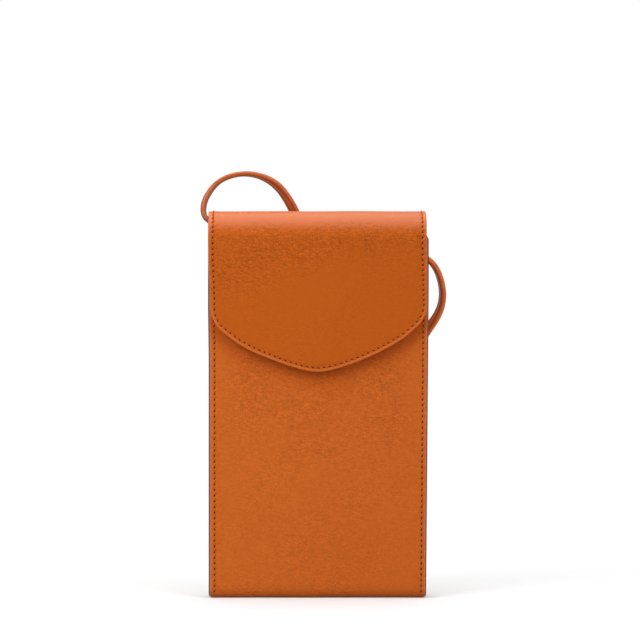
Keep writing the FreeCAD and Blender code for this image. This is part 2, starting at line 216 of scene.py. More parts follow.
def addFloor():
    half = floor["size"] / 2
    z = -floor["drop"]
    mesh = bpy.data.meshes.new("floor")
    corners = [(-half, -half, z), (half, -half, z), (half, half, z), (-half, half, z)]
    mesh.from_pydata(corners, [], [(0, 1, 2, 3)])
    made = bpy.data.objects.new("floor", mesh)
    scene.collection.objects.link(made)
    recipe = Recipe("pale_floor")
    place = recipe.node("ShaderNodeNewGeometry")
    far = recipe.node("ShaderNodeVectorMath", {"operation": "LENGTH"}, {0: place}, 1)
    share = recipe.step(far, floor["near"], floor["reach"], floor["shadow"], 0.0)
    lit = recipe.node("ShaderNodeBsdfDiffuse", None, {"Color": floor["pale"]})
    bright = recipe.node("ShaderNodeEmission", None, {"Color": white, "Strength": 1.0})
    seen = recipe.node("ShaderNodeMixShader", None, {0: share, 1: bright, 2: lit})
    other = recipe.node("ShaderNodeBsdfDiffuse", None, {"Color": floor["colour"]})
    both = recipe.node("ShaderNodeMixShader", None, {0: seenRay(recipe), 1: other, 2: seen})
    recipe.node("ShaderNodeOutputMaterial", None, {0: both}, None)
    mesh.materials.append(recipe.material)


sky = {"low": 0.10, "lowAt": -0.1, "high": 0.45, "highAt": 0.9}         # brightness, and how far up


def addSky():
    world = bpy.data.worlds.new("studio")
    scene.world = world
    world.use_nodes = True
    recipe = Recipe("studio", world.node_tree)
    way = recipe.node("ShaderNodeTexCoord", out="Generated")
    level = recipe.step(recipe.part(way, 2), sky["lowAt"], sky["highAt"], sky["low"], sky["high"])
    dim = recipe.node("ShaderNodeBackground", None, {"Color": white, "Strength": level})
    bright = recipe.node("ShaderNodeBackground", None, {"Color": white, "Strength": 1.0})
    both = recipe.node("ShaderNodeMixShader", None, {0: seenRay(recipe), 1: dim, 2: bright})
    recipe.node("ShaderNodeOutputWorld", None, {0: both}, None)


addCamera()
addLamps()
addFloor()
addSky()
print("studio ready")


# Finishes. Meshes carry attributes for them: hide (place on the flat hide), edge (distance to a cut edge),
# pit (stitch holes, creases) and a panel's zones: grain, polish, painted shade below the flap, rim and dark.
# A missing one is 0.
# A noise has its scale, detail and roughness, a band the ends of a smooth step and what it gives there.
tan = {
    "body": rgb(0.582, 0.127, 0.0160), "flap": rgb(0.500, 0.099, 0.0073), "deep": rgb(0.43, 0.078, 0.005),
    "rim": rgb(0.72, 0.180, 0.032), "flapBevel": rgb(0.76, 0.160, 0.024),
    "sideBevel": rgb(0.39, 0.150, 0.080), "bodyBevel": rgb(0.52, 0.235, 0.150),
    # Painted shade: the near black in the stitch holes
    # Painted shade: the redder tint of the band below the flap's edge
    "hole": rgb(0.110, 0.003, 0.000), "flapShadeTint": rgb(1.00, 0.86, 0.75),
    "cut": rgb(0.58, 0.21, 0.09), "cutStreak": rgb(0.45, 0.14, 0.05), "paint": rgb(0.080, 0.022, 0.018),
    "paintStreak": rgb(0.110, 0.032, 0.025), "rightPaint": rgb(0.200, 0.055, 0.028),
    "fade": 0.8,                    # painted shade: darker towards the right, per metre, as the light falls from the left
}
leatherLook = {
    "scale": 760.0, "drift": (520.0, 1.0), "sway": 0.7 * mm,        # wrinkles and pebbles, swaying a little
    "wrinkleDetail": (2.0, 0.6), "stretch": (0.66, 1.24, 1.0), "wrinkleTone": 0.94, "wrinkleRise": 0.6,
    "pebbleBand": (0.0, 0.20), "pebbleMean": 0.75, "pebbleTone": 0.20, "pebbleRise": 0.8, "pebbleRough": 0.12,
    "fine": (2600.0, 2.0), "fineRise": 0.35, "fineRough": 0.10, "relief": 0.08 * mm,
    "calm": 0.13, "patch": (45.0, 2.0), "patchBand": (0.30, 0.70, 0.62, 1.35),    # weaker and stronger grain
    "cloud": (19.0, 4.0, 0.6), "cloudBand": (0.30, 0.72, 0.0, 0.14),
    "rimBand": (0.9 * mm, 2.6 * mm, 0.50, 0.0), "bevelBand": (0.15 * mm, 0.60 * mm, 0.80, 0.0),
    "holeShadeBand": (0.10, 0.52), "pitRough": 0.4,
    "roughness": 0.42, "gloss": 0.08, "coat": 0.49, "coatRough": 0.24,
}


def leather(name, bevel, sideBevel):
    look, recipe = leatherLook, Recipe(name)
    hide = recipe.attribute("hide", 1)
    zones = ("edge", "pit", "polish", "flapShade", "rim", "dark")
    edge, pit, polish, flapShade, rim, dark = (recipe.attribute(zone) for zone in zones)
    grain = look["calm"] + recipe.attribute("grain") * (1 - look["calm"])
    grain = grain * recipe.step(recipe.noise(hide, *look["patch"]), *look["patchBand"])
    drift = recipe.noise(hide, *look["drift"], out=1)
    bent = recipe.node("ShaderNodeVectorMath", {"operation": "MULTIPLY_ADD"},
                       {0: drift, 1: (look["sway"],) * 3, 2: hide})
    cells = recipe.node("ShaderNodeTexVoronoi", {"feature": "DISTANCE_TO_EDGE"},
                        {"Vector": bent, "Scale": look["scale"]})
    pebble = recipe.step(cells, *look["pebbleBand"])
    wrinkle = recipe.noise(bent * look["stretch"], look["scale"], *look["wrinkleDetail"])
    fine = recipe.noise(bent, *look["fine"])
    cloud = recipe.step(recipe.noise(hide, *look["cloud"]), *look["cloudBand"])
    base = recipe.mix(dark, tan["body"], tan["flap"])
    base = recipe.mix(cloud, base, tan["deep"])
    tone = (wrinkle - noiseMean) * look["wrinkleTone"] + (pebble - look["pebbleMean"]) * look["pebbleTone"]
    # Painted shade: the hide darkens towards the right
    fade = 1 - recipe.part(hide, 0) * tan["fade"]
    base = recipe.mix(1.0, base, (1 + tone * grain) * fade, "MULTIPLY")
    # Painted shade: below the flap's edge the hide is tinted darker and redder
    base = recipe.mix(flapShade, base, tan["flapShadeTint"], "MULTIPLY")
    # A paler rim by the cut edges, partly painted light: brightest along the flap's lower edge, whose bevel
    # faces down
    base = recipe.mix(recipe.step(edge, *look["rimBand"]) * rim, base, tan["rim"])
    base = recipe.mix(recipe.step(edge, *look["bevelBand"]), base, recipe.mix(rim, sideBevel, bevel))
    # Painted shade in the stitch holes
    hole = recipe.step(pit, *look["holeShadeBand"])
    base = recipe.mix(hole, base, tan["hole"])
    height = (pebble * look["pebbleRise"] + wrinkle * look["wrinkleRise"] + fine * look["fineRise"]) * grain
    rough = look["roughness"] + (1 - pebble) * grain * look["pebbleRough"]
    rough = rough + (fine - noiseMean) * look["fineRough"] + pit * look["pitRough"]
    return recipe.surface({
        "Base Color": base, "Roughness": rough, "Specular IOR Level": look["gloss"],
        "Coat Weight": polish * (1 - hole) * look["coat"], "Coat Roughness": look["coatRough"],
        "Normal": recipe.bump(height, look["relief"]),
    })


cutLook = {
    "layers": (420.0, 3.0, 0.6), "stretch": (1.0, 1.0, 14.0), "streakBand": (0.35, 0.68),
    "rightBand": (0.0, 20 * mm), "uneven": 0.2, "gloss": 0.15, "relief": 0.06 * mm,
}


def cutEdge(name, colour, streak, rightColour, roughness):
    look, recipe = cutLook, Recipe(name)
    hide = recipe.attribute("hide", 1)
    layers = recipe.noise(hide * look["stretch"], *look["layers"])
    base = recipe.mix(recipe.step(layers, *look["streakBand"]), colour, streak)
    base = recipe.mix(recipe.step(recipe.part(hide, 0), *look["rightBand"]), base, rightColour)
    return recipe.surface({
        "Base Color": base, "Roughness": roughness + (layers - noiseMean) * look["uneven"],
        "Specular IOR Level": look["gloss"], "Normal": recipe.bump(layers, look["relief"]),
    })


suedeLook = {
    "fibreDetail": (5.0, 0.7), "fibreShare": 0.65, "cloud": (55.0, 3.0), "cloudShare": 0.35,
    "toneBand": (0.34, 0.66), "paintBand": (0.9 * mm, 1.3 * mm, 1.0, 0.0), "roughness": 0.86, "uneven": 0.12,
    "gloss": 0.15, "relief": 0.10 * mm,
}


def suede(name, colour, dark, scale, paint):
    look, recipe = suedeLook, Recipe(name)
    hide = recipe.attribute("hide", 1)
    fibre = recipe.noise(hide, scale, *look["fibreDetail"])
    cloud = recipe.noise(hide, *look["cloud"])
    tone = fibre * look["fibreShare"] + cloud * look["cloudShare"]
    base = recipe.mix(recipe.step(tone, *look["toneBand"]), dark, colour)
    base = recipe.mix(recipe.step(recipe.attribute("edge"), *look["paintBand"]), base, paint)
    return recipe.surface({
        "Base Color": base, "Roughness": look["roughness"] + (fibre - noiseMean) * look["uneven"],
        "Specular IOR Level": look["gloss"], "Normal": recipe.bump(fibre, look["relief"]),
    })


strapLook = {
    "plain": rgb(0.49, 0.108, 0.014), "deep": rgb(0.41, 0.079, 0.009), "cloud": (60.0, 3.0),
    "cloudBand": (0.35, 0.68), "ridges": (900.0, 3.0, 0.55), "ridgeStretch": (1.0, 0.3, 0.3),
    "ridge": rgb(0.27, 0.045, 0.007), "ridgeBand": (0.30, 0.48, 0.10, 0.0),
    # Painted shade in the creases where the strap's turned edges meet
    "crease": rgb(0.17, 0.022, 0.004), "creaseShadeShare": 0.8, "creaseRough": 0.3,
    "roughness": 0.40, "uneven": 0.25, "gloss": 0.30, "relief": 0.015 * mm,
    # Metres from its left end. Painted shade darkens it near its left end, in the flap's shade; painted light
    # makes its right end paler, where it also shines
    "startShadeBand": (0.03, 0.06, 1.0, 0.0), "startShade": rgb(0.80, 0.80, 0.80),
    "endLightBand": (1.10, 1.19), "endLight": rgb(1.60, 1.62, 1.5), "coatBand": (1.165, 1.200, 0.0, 0.5),
    "coatRough": 0.34,
}


def strapHide(name):
    look, recipe = strapLook, Recipe(name)
    hide = recipe.attribute("hide", 1)
    pit = recipe.attribute("pit")
    walked = recipe.part(hide, 0)
    ridges = recipe.noise(hide * look["ridgeStretch"], *look["ridges"])     # fine wrinkles across the strap
    cloud = recipe.step(recipe.noise(hide, *look["cloud"]), *look["cloudBand"])
    base = recipe.mix(cloud, look["plain"], look["deep"])
    # Painted shade near the left end, painted light at the right end
    base = recipe.mix(recipe.step(walked, *look["startShadeBand"]), base, look["startShade"], "MULTIPLY")
    base = recipe.mix(recipe.step(walked, *look["endLightBand"]), base, look["endLight"], "MULTIPLY")
    base = recipe.mix(recipe.step(ridges, *look["ridgeBand"]), base, look["ridge"])
    # Painted shade in the creases
    base = recipe.mix(pit * look["creaseShadeShare"], base, look["crease"])
    rough = look["roughness"] + (ridges - noiseMean) * look["uneven"] + pit * look["creaseRough"]
    return recipe.surface({
        "Base Color": base, "Roughness": rough, "Specular IOR Level": look["gloss"],
        "Coat Weight": recipe.step(walked, *look["coatBand"]), "Coat Roughness": look["coatRough"],
        "Normal": recipe.bump(ridges, look["relief"]),
    })


threadLook = {
    "dark": rgb(0.50, 0.096, 0.006), "pale": rgb(0.64, 0.135, 0.012), "fluff": (5200.0, 3.0, 0.6),
    "roughness": 0.50, "uneven": 0.3, "gloss": 0.10, "relief": 0.04 * mm,
}


def waxedThread(name):
    look, recipe = threadLook, Recipe(name)
    fluff = recipe.noise(recipe.attribute("hide", 1), *look["fluff"])
    return recipe.surface({
        "Base Color": recipe.mix(fluff, look["dark"], look["pale"]),
        "Roughness": look["roughness"] + (fluff - noiseMean) * look["uneven"],
        "Specular IOR Level": look["gloss"], "Normal": recipe.bump(fluff, look["relief"]),
    })


metalLook = {
    "brushed": (900.0, 4.0, 0.6), "stretch": (1.0, 1.0, 18.0), "uneven": 0.22, "spots": (260.0, 3.0),
    "spotBand": (0.45, 0.75), "spotShare": 0.5, "spotRough": 0.10, "relief": 0.015 * mm,
}


def plainMetal(name, colour, dull, roughness):
    look, recipe = metalLook, Recipe(name)
    place = recipe.node("ShaderNodeTexCoord", out="Object")
    brushed = recipe.noise(place * look["stretch"], *look["brushed"])
    spots = recipe.step(recipe.noise(place, *look["spots"]), *look["spotBand"])
    rough = roughness + (brushed - noiseMean) * look["uneven"] + spots * look["spotRough"]
    return recipe.surface({
        "Base Color": recipe.mix(spots * look["spotShare"], colour, dull), "Metallic": 1.0,
        "Roughness": rough, "Normal": recipe.bump(brushed, look["relief"]),
    })


tapeLook = {
    "shade": rgb(0.42, 0.33, 0.21), "pale": rgb(0.68, 0.57, 0.41), "weave": 330.0, "slub": (900.0, 3.0),
    "slubShare": 0.4, "toneBand": (0.10, 0.80), "roughness": 0.85, "uneven": 0.1, "gloss": 0.2,
    "relief": 0.12 * mm,
}


def wovenTape(name):
    look, recipe = tapeLook, Recipe(name)
    hide = recipe.attribute("hide", 1)
    warp, weft = (recipe.node(
        "ShaderNodeTexWave", {"wave_type": "BANDS", "wave_profile": "SIN", "bands_direction": way},
        {"Vector": hide, "Scale": look["weave"]}, 1) for way in ("X", "Y"))
    slub = recipe.noise(hide, *look["slub"])
    cloth = warp * weft + slub * look["slubShare"]
    return recipe.surface({
        "Base Color": recipe.mix(recipe.step(cloth, *look["toneBand"]), look["shade"], look["pale"]),
        "Roughness": look["roughness"] + (slub - noiseMean) * look["uneven"],
        "Specular IOR Level": look["gloss"], "Normal": recipe.bump(cloth, look["relief"]),
    })


finish = {
    "body": leather("tan_leather_body", tan["bodyBevel"], tan["bodyBevel"]),
    "flap": leather("tan_leather_flap", tan["flapBevel"], tan["sideBevel"]),
    "gusset": leather("tan_leather_gusset", tan["paint"], tan["paint"]),
    "flapEdge": cutEdge("flap_cut_edge", tan["cut"], tan["cutStreak"], tan["cut"], roughness=0.55),
    "paintedEdge": cutEdge("painted_edge", tan["paint"], tan["paintStreak"], tan["rightPaint"],
                           roughness=0.50),
    "flesh": suede("flesh_side", colour=rgb(0.46, 0.20, 0.085), dark=rgb(0.34, 0.13, 0.050), scale=1500.0,
                   paint=tan["paint"]),
    "lining": suede("lining_hide", colour=rgb(0.45, 0.145, 0.040), dark=rgb(0.36, 0.105, 0.026), scale=900.0,
                    paint=tan["flapBevel"]),
    "strap": strapHide("strap_leather"),
    "thread": waxedThread("waxed_thread"),
    "brass": plainMetal("snap_brass", rgb(0.66, 0.48, 0.22), rgb(0.50, 0.35, 0.15), roughness=0.30),
    "magnet": plainMetal("magnet_plating", rgb(0.36, 0.36, 0.37), rgb(0.24, 0.24, 0.25), roughness=0.36),
    "tape": wovenTape("cotton_tape"),
}
print("finishes ready")


# Shapes
def straight(length):
    return (length, 0.0)


def bend(radius, turn):             # a left turn is positive
    return (radius * abs(turn), turn)


class Track:                        # straights and bends in a plane, walked by distance
    def __init__(self, start, heading, moves):
        self.legs, self.starts, self.length = [], [], 0.0
        place = np.array(start, float)
        for length, turn in moves:
            self.legs.append((place, heading, length, turn))
            self.starts.append(self.length)
            place, heading = self.along(place, heading, length, turn, np.array([length]))
            place, heading = place[0], heading[0]
            self.length += length

    @staticmethod
    def along(place, heading, length, turn, distance):
        swing = heading + turn * distance / length
        if turn == 0.0:
            steps = np.stack([distance * math.cos(heading), distance * math.sin(heading)], 1)
        else:
            radius = length / turn
            arc = [np.sin(swing) - math.sin(heading), math.cos(heading) - np.cos(swing)]
            steps = radius * np.stack(arc, 1)
        return place + steps, swing

    def at(self, distances):        # points and headings
        distances = np.clip(np.asarray(distances, float), 0.0, self.length)
        points, headings = np.zeros((len(distances), 2)), np.zeros(len(distances))
        for (place, heading, length, turn), walked in zip(self.legs, self.starts):
            here = (distances >= walked) & (distances <= walked + length)
            points[here], headings[here] = self.along(place, heading, length, turn, distances[here] - walked)
        return points, headings


def roundedRun(start, heading, length, width, corner):      # along one side, across and back along the other
    side, turn = straight(length - corner), bend(corner, quarter)
    return Track(start, heading, [side, turn, straight(width - 2 * corner), turn, side])


def leftOf(headings):
    return np.stack([-np.sin(headings), np.cos(headings)], 1)


def unit(vectors):
    return vectors / np.linalg.norm(vectors, axis=1, keepdims=True)


def walkedAlong(points):            # distance from the first point to each
    return np.concatenate([[0.0], np.cumsum(np.linalg.norm(np.diff(points, axis=0), axis=1))])


def addMesh(name, points, faces, materials, faceMaterial=None, attributes=None, sharp=50.0):
    mesh = bpy.data.meshes.new(name)
    mesh.from_pydata(np.asarray(points).tolist(), [], [list(map(int, face)) for face in faces])
    for material in materials:
        mesh.materials.append(material)
    if faceMaterial is not None:
        mesh.polygons.foreach_set("material_index", np.asarray(faceMaterial, np.int32))
    mesh.polygons.foreach_set("use_smooth", np.ones(len(mesh.polygons), bool))
    for key, values in (attributes or {}).items():
        values = np.asarray(values, np.float32)
        kind, field = ("FLOAT_VECTOR", "vector") if values.ndim == 2 else ("FLOAT", "value")
        mesh.attributes.new(key, kind, "POINT").data.foreach_set(field, values.ravel())
    mesh.set_sharp_from_angle(angle=math.radians(sharp))
    mesh.update()
    made = bpy.data.objects.new(name, mesh)
    scene.collection.objects.link(made)
    return made


def tubeFaces(rings, sides):        # quads from ring to ring and a cap at each end
    ring, side = np.meshgrid(np.arange(rings - 1), np.arange(sides), indexing="ij")
    first = (ring * sides + side).ravel()
    following = (ring * sides + (side + 1) % sides).ravel()
    faces = np.stack([first, following, following + sides, first + sides], 1).tolist()
    return faces + [list(range(sides))[::-1], list(range((rings - 1) * sides, rings * sides))]


def sweep(name, points, normals, section, material, groove=None):       # a section carried along a line
    tangents = unit(np.gradient(points, axis=0))
    normals = unit(normals - tangents * np.sum(normals * tangents, axis=1, keepdims=True))
    across = np.cross(tangents, normals)
    count, sides = len(points), len(section)
    rings = points[:, None] + across[:, None] * section[None, :, :1]
    rings = rings + normals[:, None] * section[None, :, 1:]
    hide = np.zeros((count, sides, 3))
    hide[:, :, 0] = walkedAlong(points)[:, None]
    hide[:, :, 1:] = section[None]
    attributes = {"hide": hide.reshape(-1, 3)}
    if groove is not None:
        attributes["pit"] = np.tile(groove, count)
    return addMesh(name, rings.reshape(-1, 3), tubeFaces(count, sides), [material], None, attributes)


# Strap: one flat folded strap from the left gusset, down the back into the hank and up to the right gusset
strap = {
    "width": 5.2 * mm, "thickness": 2.6 * mm, "corner": 0.95 * mm, "sides": 52, "groove": 0.28 * mm,
    "grooveHalf": 0.30 * mm, "grooveAt": 1.15 * mm, "crown": 0.22 * mm, "smooth": 10,
    # The hank, in millimetres
    "rings": (2, 1, 0, 0, 0, 1, 1), "climbRow": 3, "halfRun": 30.0, "foldRadius": 12.5, "ringStep": 5.4,
    "waistDraw": 8.0, "middleY": 37.0, "layers": (3.7, 9.1),
    "runShares": (-1.0, -0.62, -0.22, 0.22, 0.62, 1.0), "foldPoints": 5,
}
# Route points in millimetres; the last number is the quarter turns of its broad side: 0 and 2 edge-on, 1 flat
leftRoute = [
    (-44.0, 0.0, 168.0, 0), (-46.6, 0.0, 168.0, 0), (-48.6, 0.5, 169.8, 0), (-49.6, 0.8, 173.2, 0),
    (-50.1, 1.0, 177.8, 0), (-52.0, 1.2, 182.6, 0.02), (-56.4, 2.8, 186.0, 0.05), (-56.6, 7.7, 192.6, 0.10),
    (-53.4, 13.1, 199.4, 0.08), (-48.0, 15.1, 204.9, 0), (-39.0, 16.2, 207.8, 0), (-29.4, 16.8, 207.0, 0.14),
    (-20.6, 16.6, 202.4, 0.42), (-14.4, 15.6, 194.0, 0.60), (-9.8, 14.6, 184.0, 0.78),
    (-6.0, 14.0, 171.6, 0.85),
    (-4.0, 13.7, 158.4, 1), (-4.2, 13.5, 144.4, 1), (-7.6, 13.4, 129.6, 1), (-13.2, 13.4, 113.8, 1),
    (-19.8, 13.4, 98.0, 1), (-26.8, 13.5, 82.6, 1), (-34.0, 13.5, 67.4, 1), (-41.0, 13.6, 52.6, 1),
    (-46.8, 13.7, 39.0, 1), (-49.6, 13.7, 26.0, 1), (-50.0, 13.7, 13.9, 1), (-46.2, 13.7, 7.4, 1),
    (-39.7, 13.7, 3.7, 1), (-34.0, 13.7, 3.7, 1),
]
rightRoute = [
    (34.0, 19.1, 9.1, 1), (39.5, 19.1, 9.1, 1), (45.3, 18.8, 12.4, 1), (48.6, 18.0, 18.6, 1),
    (49.0, 16.6, 30.4, 1), (47.6, 15.2, 44.4, 1), (46.0, 14.4, 58.2, 1), (44.9, 14.0, 72.0, 1),
    (44.4, 14.0, 86.4, 1), (44.6, 14.0, 100.4, 1), (45.8, 14.2, 113.6, 1), (49.2, 14.2, 124.4, 1.15),
    (54.4, 13.4, 131.3, 1.42), (59.4, 11.2, 138.6, 1.62), (61.4, 8.6, 146.6, 1.74), (60.3, 6.2, 154.4, 1.80),
    (57.6, 3.8, 161.2, 1.84), (53.5, 1.8, 165.4, 1.94), (50.3, 0.6, 167.3, 2), (47.0, 0.0, 168.0, 2),
    (44.0, 0.0, 168.0, 2),
]


def hankRow(index):                 # way, offset at the ends, offset at the waist, heights at both ends
    way = 1 if index % 2 == 0 else -1
    offset = -way * (strap["foldRadius"] + strap["rings"][index] * strap["ringStep"])
    low, high = strap["layers"]
    first = low if index <= strap["climbRow"] else high
    last = low if index < strap["climbRow"] else high
    return way, offset, offset + way * strap["waistDraw"], first, last


def hankPoints():
    points = []
    fold = math.pi / (strap["foldPoints"] + 1)
    # On a bend the spline runs inside its points: it takes 3/4 of one and 1/8 of each neighbour
    outset = 1 / (3 / 4 + 2 / 8 * math.cos(fold))
    for index in range(len(strap["rings"])):
        way, offset, waist, first, last = hankRow(index)
        for share in strap["runShares"]:
            far = abs(share)
            ease = 2 * far * far if far < 0.5 else 1 - 2 * (1 - far) ** 2
            y = strap["middleY"] + waist + (offset - waist) * ease
            z = first + (last - first) * (share + 1) / 2
            points.append((way * share * strap["halfRun"], y, z, 1))
        if index + 1 == len(strap["rings"]):
            break
        following = hankRow(index + 1)[1]
        middle, radius = (offset + following) / 2, (following - offset) / 2 * outset
        for number in range(1, strap["foldPoints"] + 1):
            angle = fold * number
            x = way * (strap["halfRun"] + abs(radius) * math.sin(angle))
            points.append((x, strap["middleY"] + middle - radius * math.cos(angle), last, 1))
    return points


def strapLine():                    # points of the strap's spline and the way that its outer side faces
    hank = hankPoints()
    route = np.array(leftRoute + hank + rightRoute, float)
    count = len(route)
    curve = bpy.data.curves.new("strap_line", "CURVE")
    curve.dimensions = "3D"
    curve.resolution_u = strap["smooth"]
    spline = curve.splines.new("NURBS")
    spline.points.add(count - 1)
    for point, (x, y, z, _) in zip(spline.points, route):
        point.co = (x * mm, y * mm, z * mm, 1.0)
    spline.order_u = 3
    spline.use_endpoint_u = True
    line = bpy.data.objects.new("strap_line", curve)
    mesh = bpy.data.meshes.new_from_object(line)
    points = np.array([vertex.co for vertex in mesh.vertices])
    bpy.data.objects.remove(line)
    spans = count - 2.0             # a spline of order 3 has two spans less than points
    knots = np.clip(np.arange(count) - 0.5, 0.0, spans)     # where each point pulls most
    along = np.linspace(0.0, spans, len(points))
    turn = np.interp(along, knots, route[:, 3]) * quarter
    tangents = unit(np.gradient(points, axis=0))
    sideways = np.cross(tangents, (0.0, 1.0, 0.0))
    backward = np.array((0.0, 1.0, 0.0)) - tangents * tangents[:, 1:2]
    facing = np.cos(turn)[:, None] * sideways + np.sin(turn)[:, None] * backward
    inHank = (along > len(leftRoute) - 1) & (along < len(leftRoute) + len(hank))
    facing[inHank] = np.cross((0.0, 0.0, 1.0), tangents[inHank])
    return points, unit(facing)


def strapSection():                 # rounded and flat; its turned edges leave two creases on the inner side
    half, rise, corner = strap["width"] / 2, strap["thickness"] / 2, strap["corner"]
    flat, side = straight(half - corner), straight(2 * (rise - corner))
    turn = bend(corner, quarter)
    outline = Track((0.0, -rise), 0.0, [flat, turn, side, turn, flat, flat, turn, side, turn, flat])
    section = outline.at(np.arange(strap["sides"]) * outline.length / strap["sides"])[0]
    across, up = section.T
    crease = np.exp(-((np.abs(across) - strap["grooveAt"]) / strap["grooveHalf"]) ** 2) * (up < 0)
    up = up + strap["groove"] * crease - np.sign(up) * strap["crown"] * (across / half) ** 2
    return np.stack([across, up], 1), crease


def addStrap():
    points, facing = strapLine()
    section, groove = strapSection()
    made = sweep("shoulder_strap", points, facing, section, finish["strap"], groove)
    length = float(walkedAlong(points)[-1])
    print("strap length %.3f m" % length)
    return made, points, length


tie = {
    "thickness": 0.7 * mm, "corner": 3.2 * mm, "overlap": 11.0 * mm, "lift": 0.8 * mm, "steps": 150,
    "narrower": 0.3 * mm, "wobble": 0.25 * mm, "wobbleRun": 7.0 * mm,
    "acrossShares": (-1.0, -0.96, -0.85, -0.5, 0.0, 0.5, 0.85, 0.96, 1.0),
    "riseShares": (0.35, 0.8, 1.0, 1.0, 1.0, 1.0, 1.0, 0.8, 0.35),
}


def addTie():                       # a tape wound once round the hank's waist, its end laid over its start
    low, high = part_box("hank_tie")
    rise, corner, overlap = tie["thickness"] / 2, tie["corner"], tie["overlap"]
    half = (high.y - low.y) / 2 - rise - corner
    turn, side = bend(corner, -quarter), straight(high.z - low.z - 2 * (rise + corner))
    track = Track(((low.y + high.y) / 2, high.z - rise), 0.0, [
        straight(half), turn, side, turn, straight(2 * half), turn, side, turn, straight(half + overlap)])
    distances = np.linspace(0.0, track.length, tie["steps"])
    flat, headings = track.at(distances)
    lift = tie["lift"] * np.clip((distances - track.length + 2 * overlap) / overlap, 0.0, 1.0)
    flat = flat + lift[:, None] * leftOf(headings)
    wobble = tie["wobble"] * np.sin(distances / tie["wobbleRun"])
    points = np.stack([wobble, flat[:, 0], flat[:, 1]], 1)
    normals = np.concatenate([np.zeros((len(points), 1)), leftOf(headings)], 1)
    across = ((high.x - low.x) / 2 - tie["narrower"]) * np.array(tie["acrossShares"])
    up = rise * np.array(tie["riseShares"])
    section = np.concatenate([np.stack([across, -up], 1), np.stack([across, up], 1)[::-1]])
    return sweep("hank_tie_tape", points, normals, section, finish["tape"])


strapPiece, strapPoints, strapLength = addStrap()
tiePiece = addTie()
for piece, slotName in ((strapPiece, "strap_leather"), (tiePiece, "tie_tape")):
    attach(piece, "pouch")
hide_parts("strap_left", "strap_hank", "strap_right")
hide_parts("hank_tie")
tuple(strapPoints[0])
print("strap ready")


# Leather panels: a flat outline of rails (cut edges), edged by rows of quads that carry bevel, seam and holes
walkStep = 0.1 * mm                 # for measuring along a rail
inland = 10 * mm                    # distance to a cut edge that is given to all points inside the rows


def makeRail(track, seamInset, pitch, columns=6, shrink=0.0):
    fine = np.linspace(0.0, track.length, int(track.length / walkStep) + 2)
    points, headings = track.at(fine)
    walked = walkedAlong(points + seamInset * leftOf(headings))
    count = max(1, round(walked[-1] / pitch))
    marks = np.linspace(0.0, walked[-1], count * columns + 1)
    base, headings = track.at(np.interp(marks, walked, fine))
    normal = leftOf(headings)
    return {"base": base + shrink * normal, "normal": normal, "inset": seamInset - shrink,
            "pitch": walked[-1] / count, "columns": columns, "squeeze": np.ones(len(base))}


def mirrorRail(rail):
    flip = np.array((-1.0, 1.0))
    return dict(rail, base=rail["base"][::-1] * flip, normal=rail["normal"][::-1] * flip)


def seamLine(rail):
    return rail["base"] + rail["inset"] * rail["normal"]


def sewnHoles(rail, sewn):          # 1 for each hole of the rail that is sewn
    holes = seamLine(rail)[::rail["columns"]]
    return np.ones(len(holes)) if sewn is None else sewn(holes[:, 0], holes[:, 1]).astype(float)


def insidePolygon(points, polygon):
    inside = np.zeros(len(points), bool)
    for (x0, y0), (x1, y1) in zip(polygon, np.roll(polygon, -1, axis=0)):
        if y0 != y1:
            crosses = (y0 > points[:, 1]) != (y1 > points[:, 1])
            inside ^= crosses & (points[:, 0] < x0 + (points[:, 1] - y0) * (x1 - x0) / (y1 - y0))
    return inside


pairLimit = 4000000                 # distances worked out at a time


def farFrom(points, others, distance):
    kept = np.ones(len(points), bool)
    for part in np.array_split(np.arange(len(points)), max(1, len(points) * len(others) // pairLimit)):
        gaps = np.linalg.norm(points[part][:, None] - others[None], axis=2)
        kept[part] = gaps.min(axis=1) > distance
    return kept


grid = {
    "clearShare": 0.6,              # how far it stays from the border, as a share of its spacing
    "insideOnly": 1, "closest": 1e-6,       # output type and tolerance of delaunay_2d_cdt
}


def fillInside(flat, loop, holes, spacing):     # triangles inside a loop and round its holes
    border = flat[loop]
    low, high = border.min(axis=0), border.max(axis=0)
    rows = np.arange(low[1] + spacing / 2, high[1], spacing)
    columns = np.arange(low[0], high[0] + spacing, spacing)
    spots = np.concatenate([np.stack([columns + spacing / 2 * (number % 2), np.full(len(columns), row)], 1)
                            for number, row in enumerate(rows)])        # a staggered grid
    spots = spots[insidePolygon(spots, border)]
    for hole in holes:
        spots = spots[~insidePolygon(spots, flat[hole])]
    fixed = np.concatenate([loop, *holes])
    spots = spots[farFrom(spots, flat[fixed], spacing * grid["clearShare"])]
    numbers = np.concatenate([fixed, len(flat) + np.arange(len(spots))])
    flat = np.concatenate([flat, spots])
    points = [Vector(point) for point in flat[numbers] / mm]
    edges, start = [], 0
    for ring in (loop, *holes):
        edges += [(start + number, start + (number + 1) % len(ring)) for number in range(len(ring))]
        start += len(ring)
    made = geometry.delaunay_2d_cdt(points, edges, [], grid["insideOnly"], grid["closest"])
    _, _, triangles, origins, _, _ = made
    faces = np.array([[numbers[origins[corner][0]] for corner in face] for face in triangles])
    middles = flat[faces].mean(axis=1)
    for hole in holes:
        outside = ~insidePolygon(middles, flat[hole])
        faces, middles = faces[outside], middles[outside]
    return flat, faces.tolist()


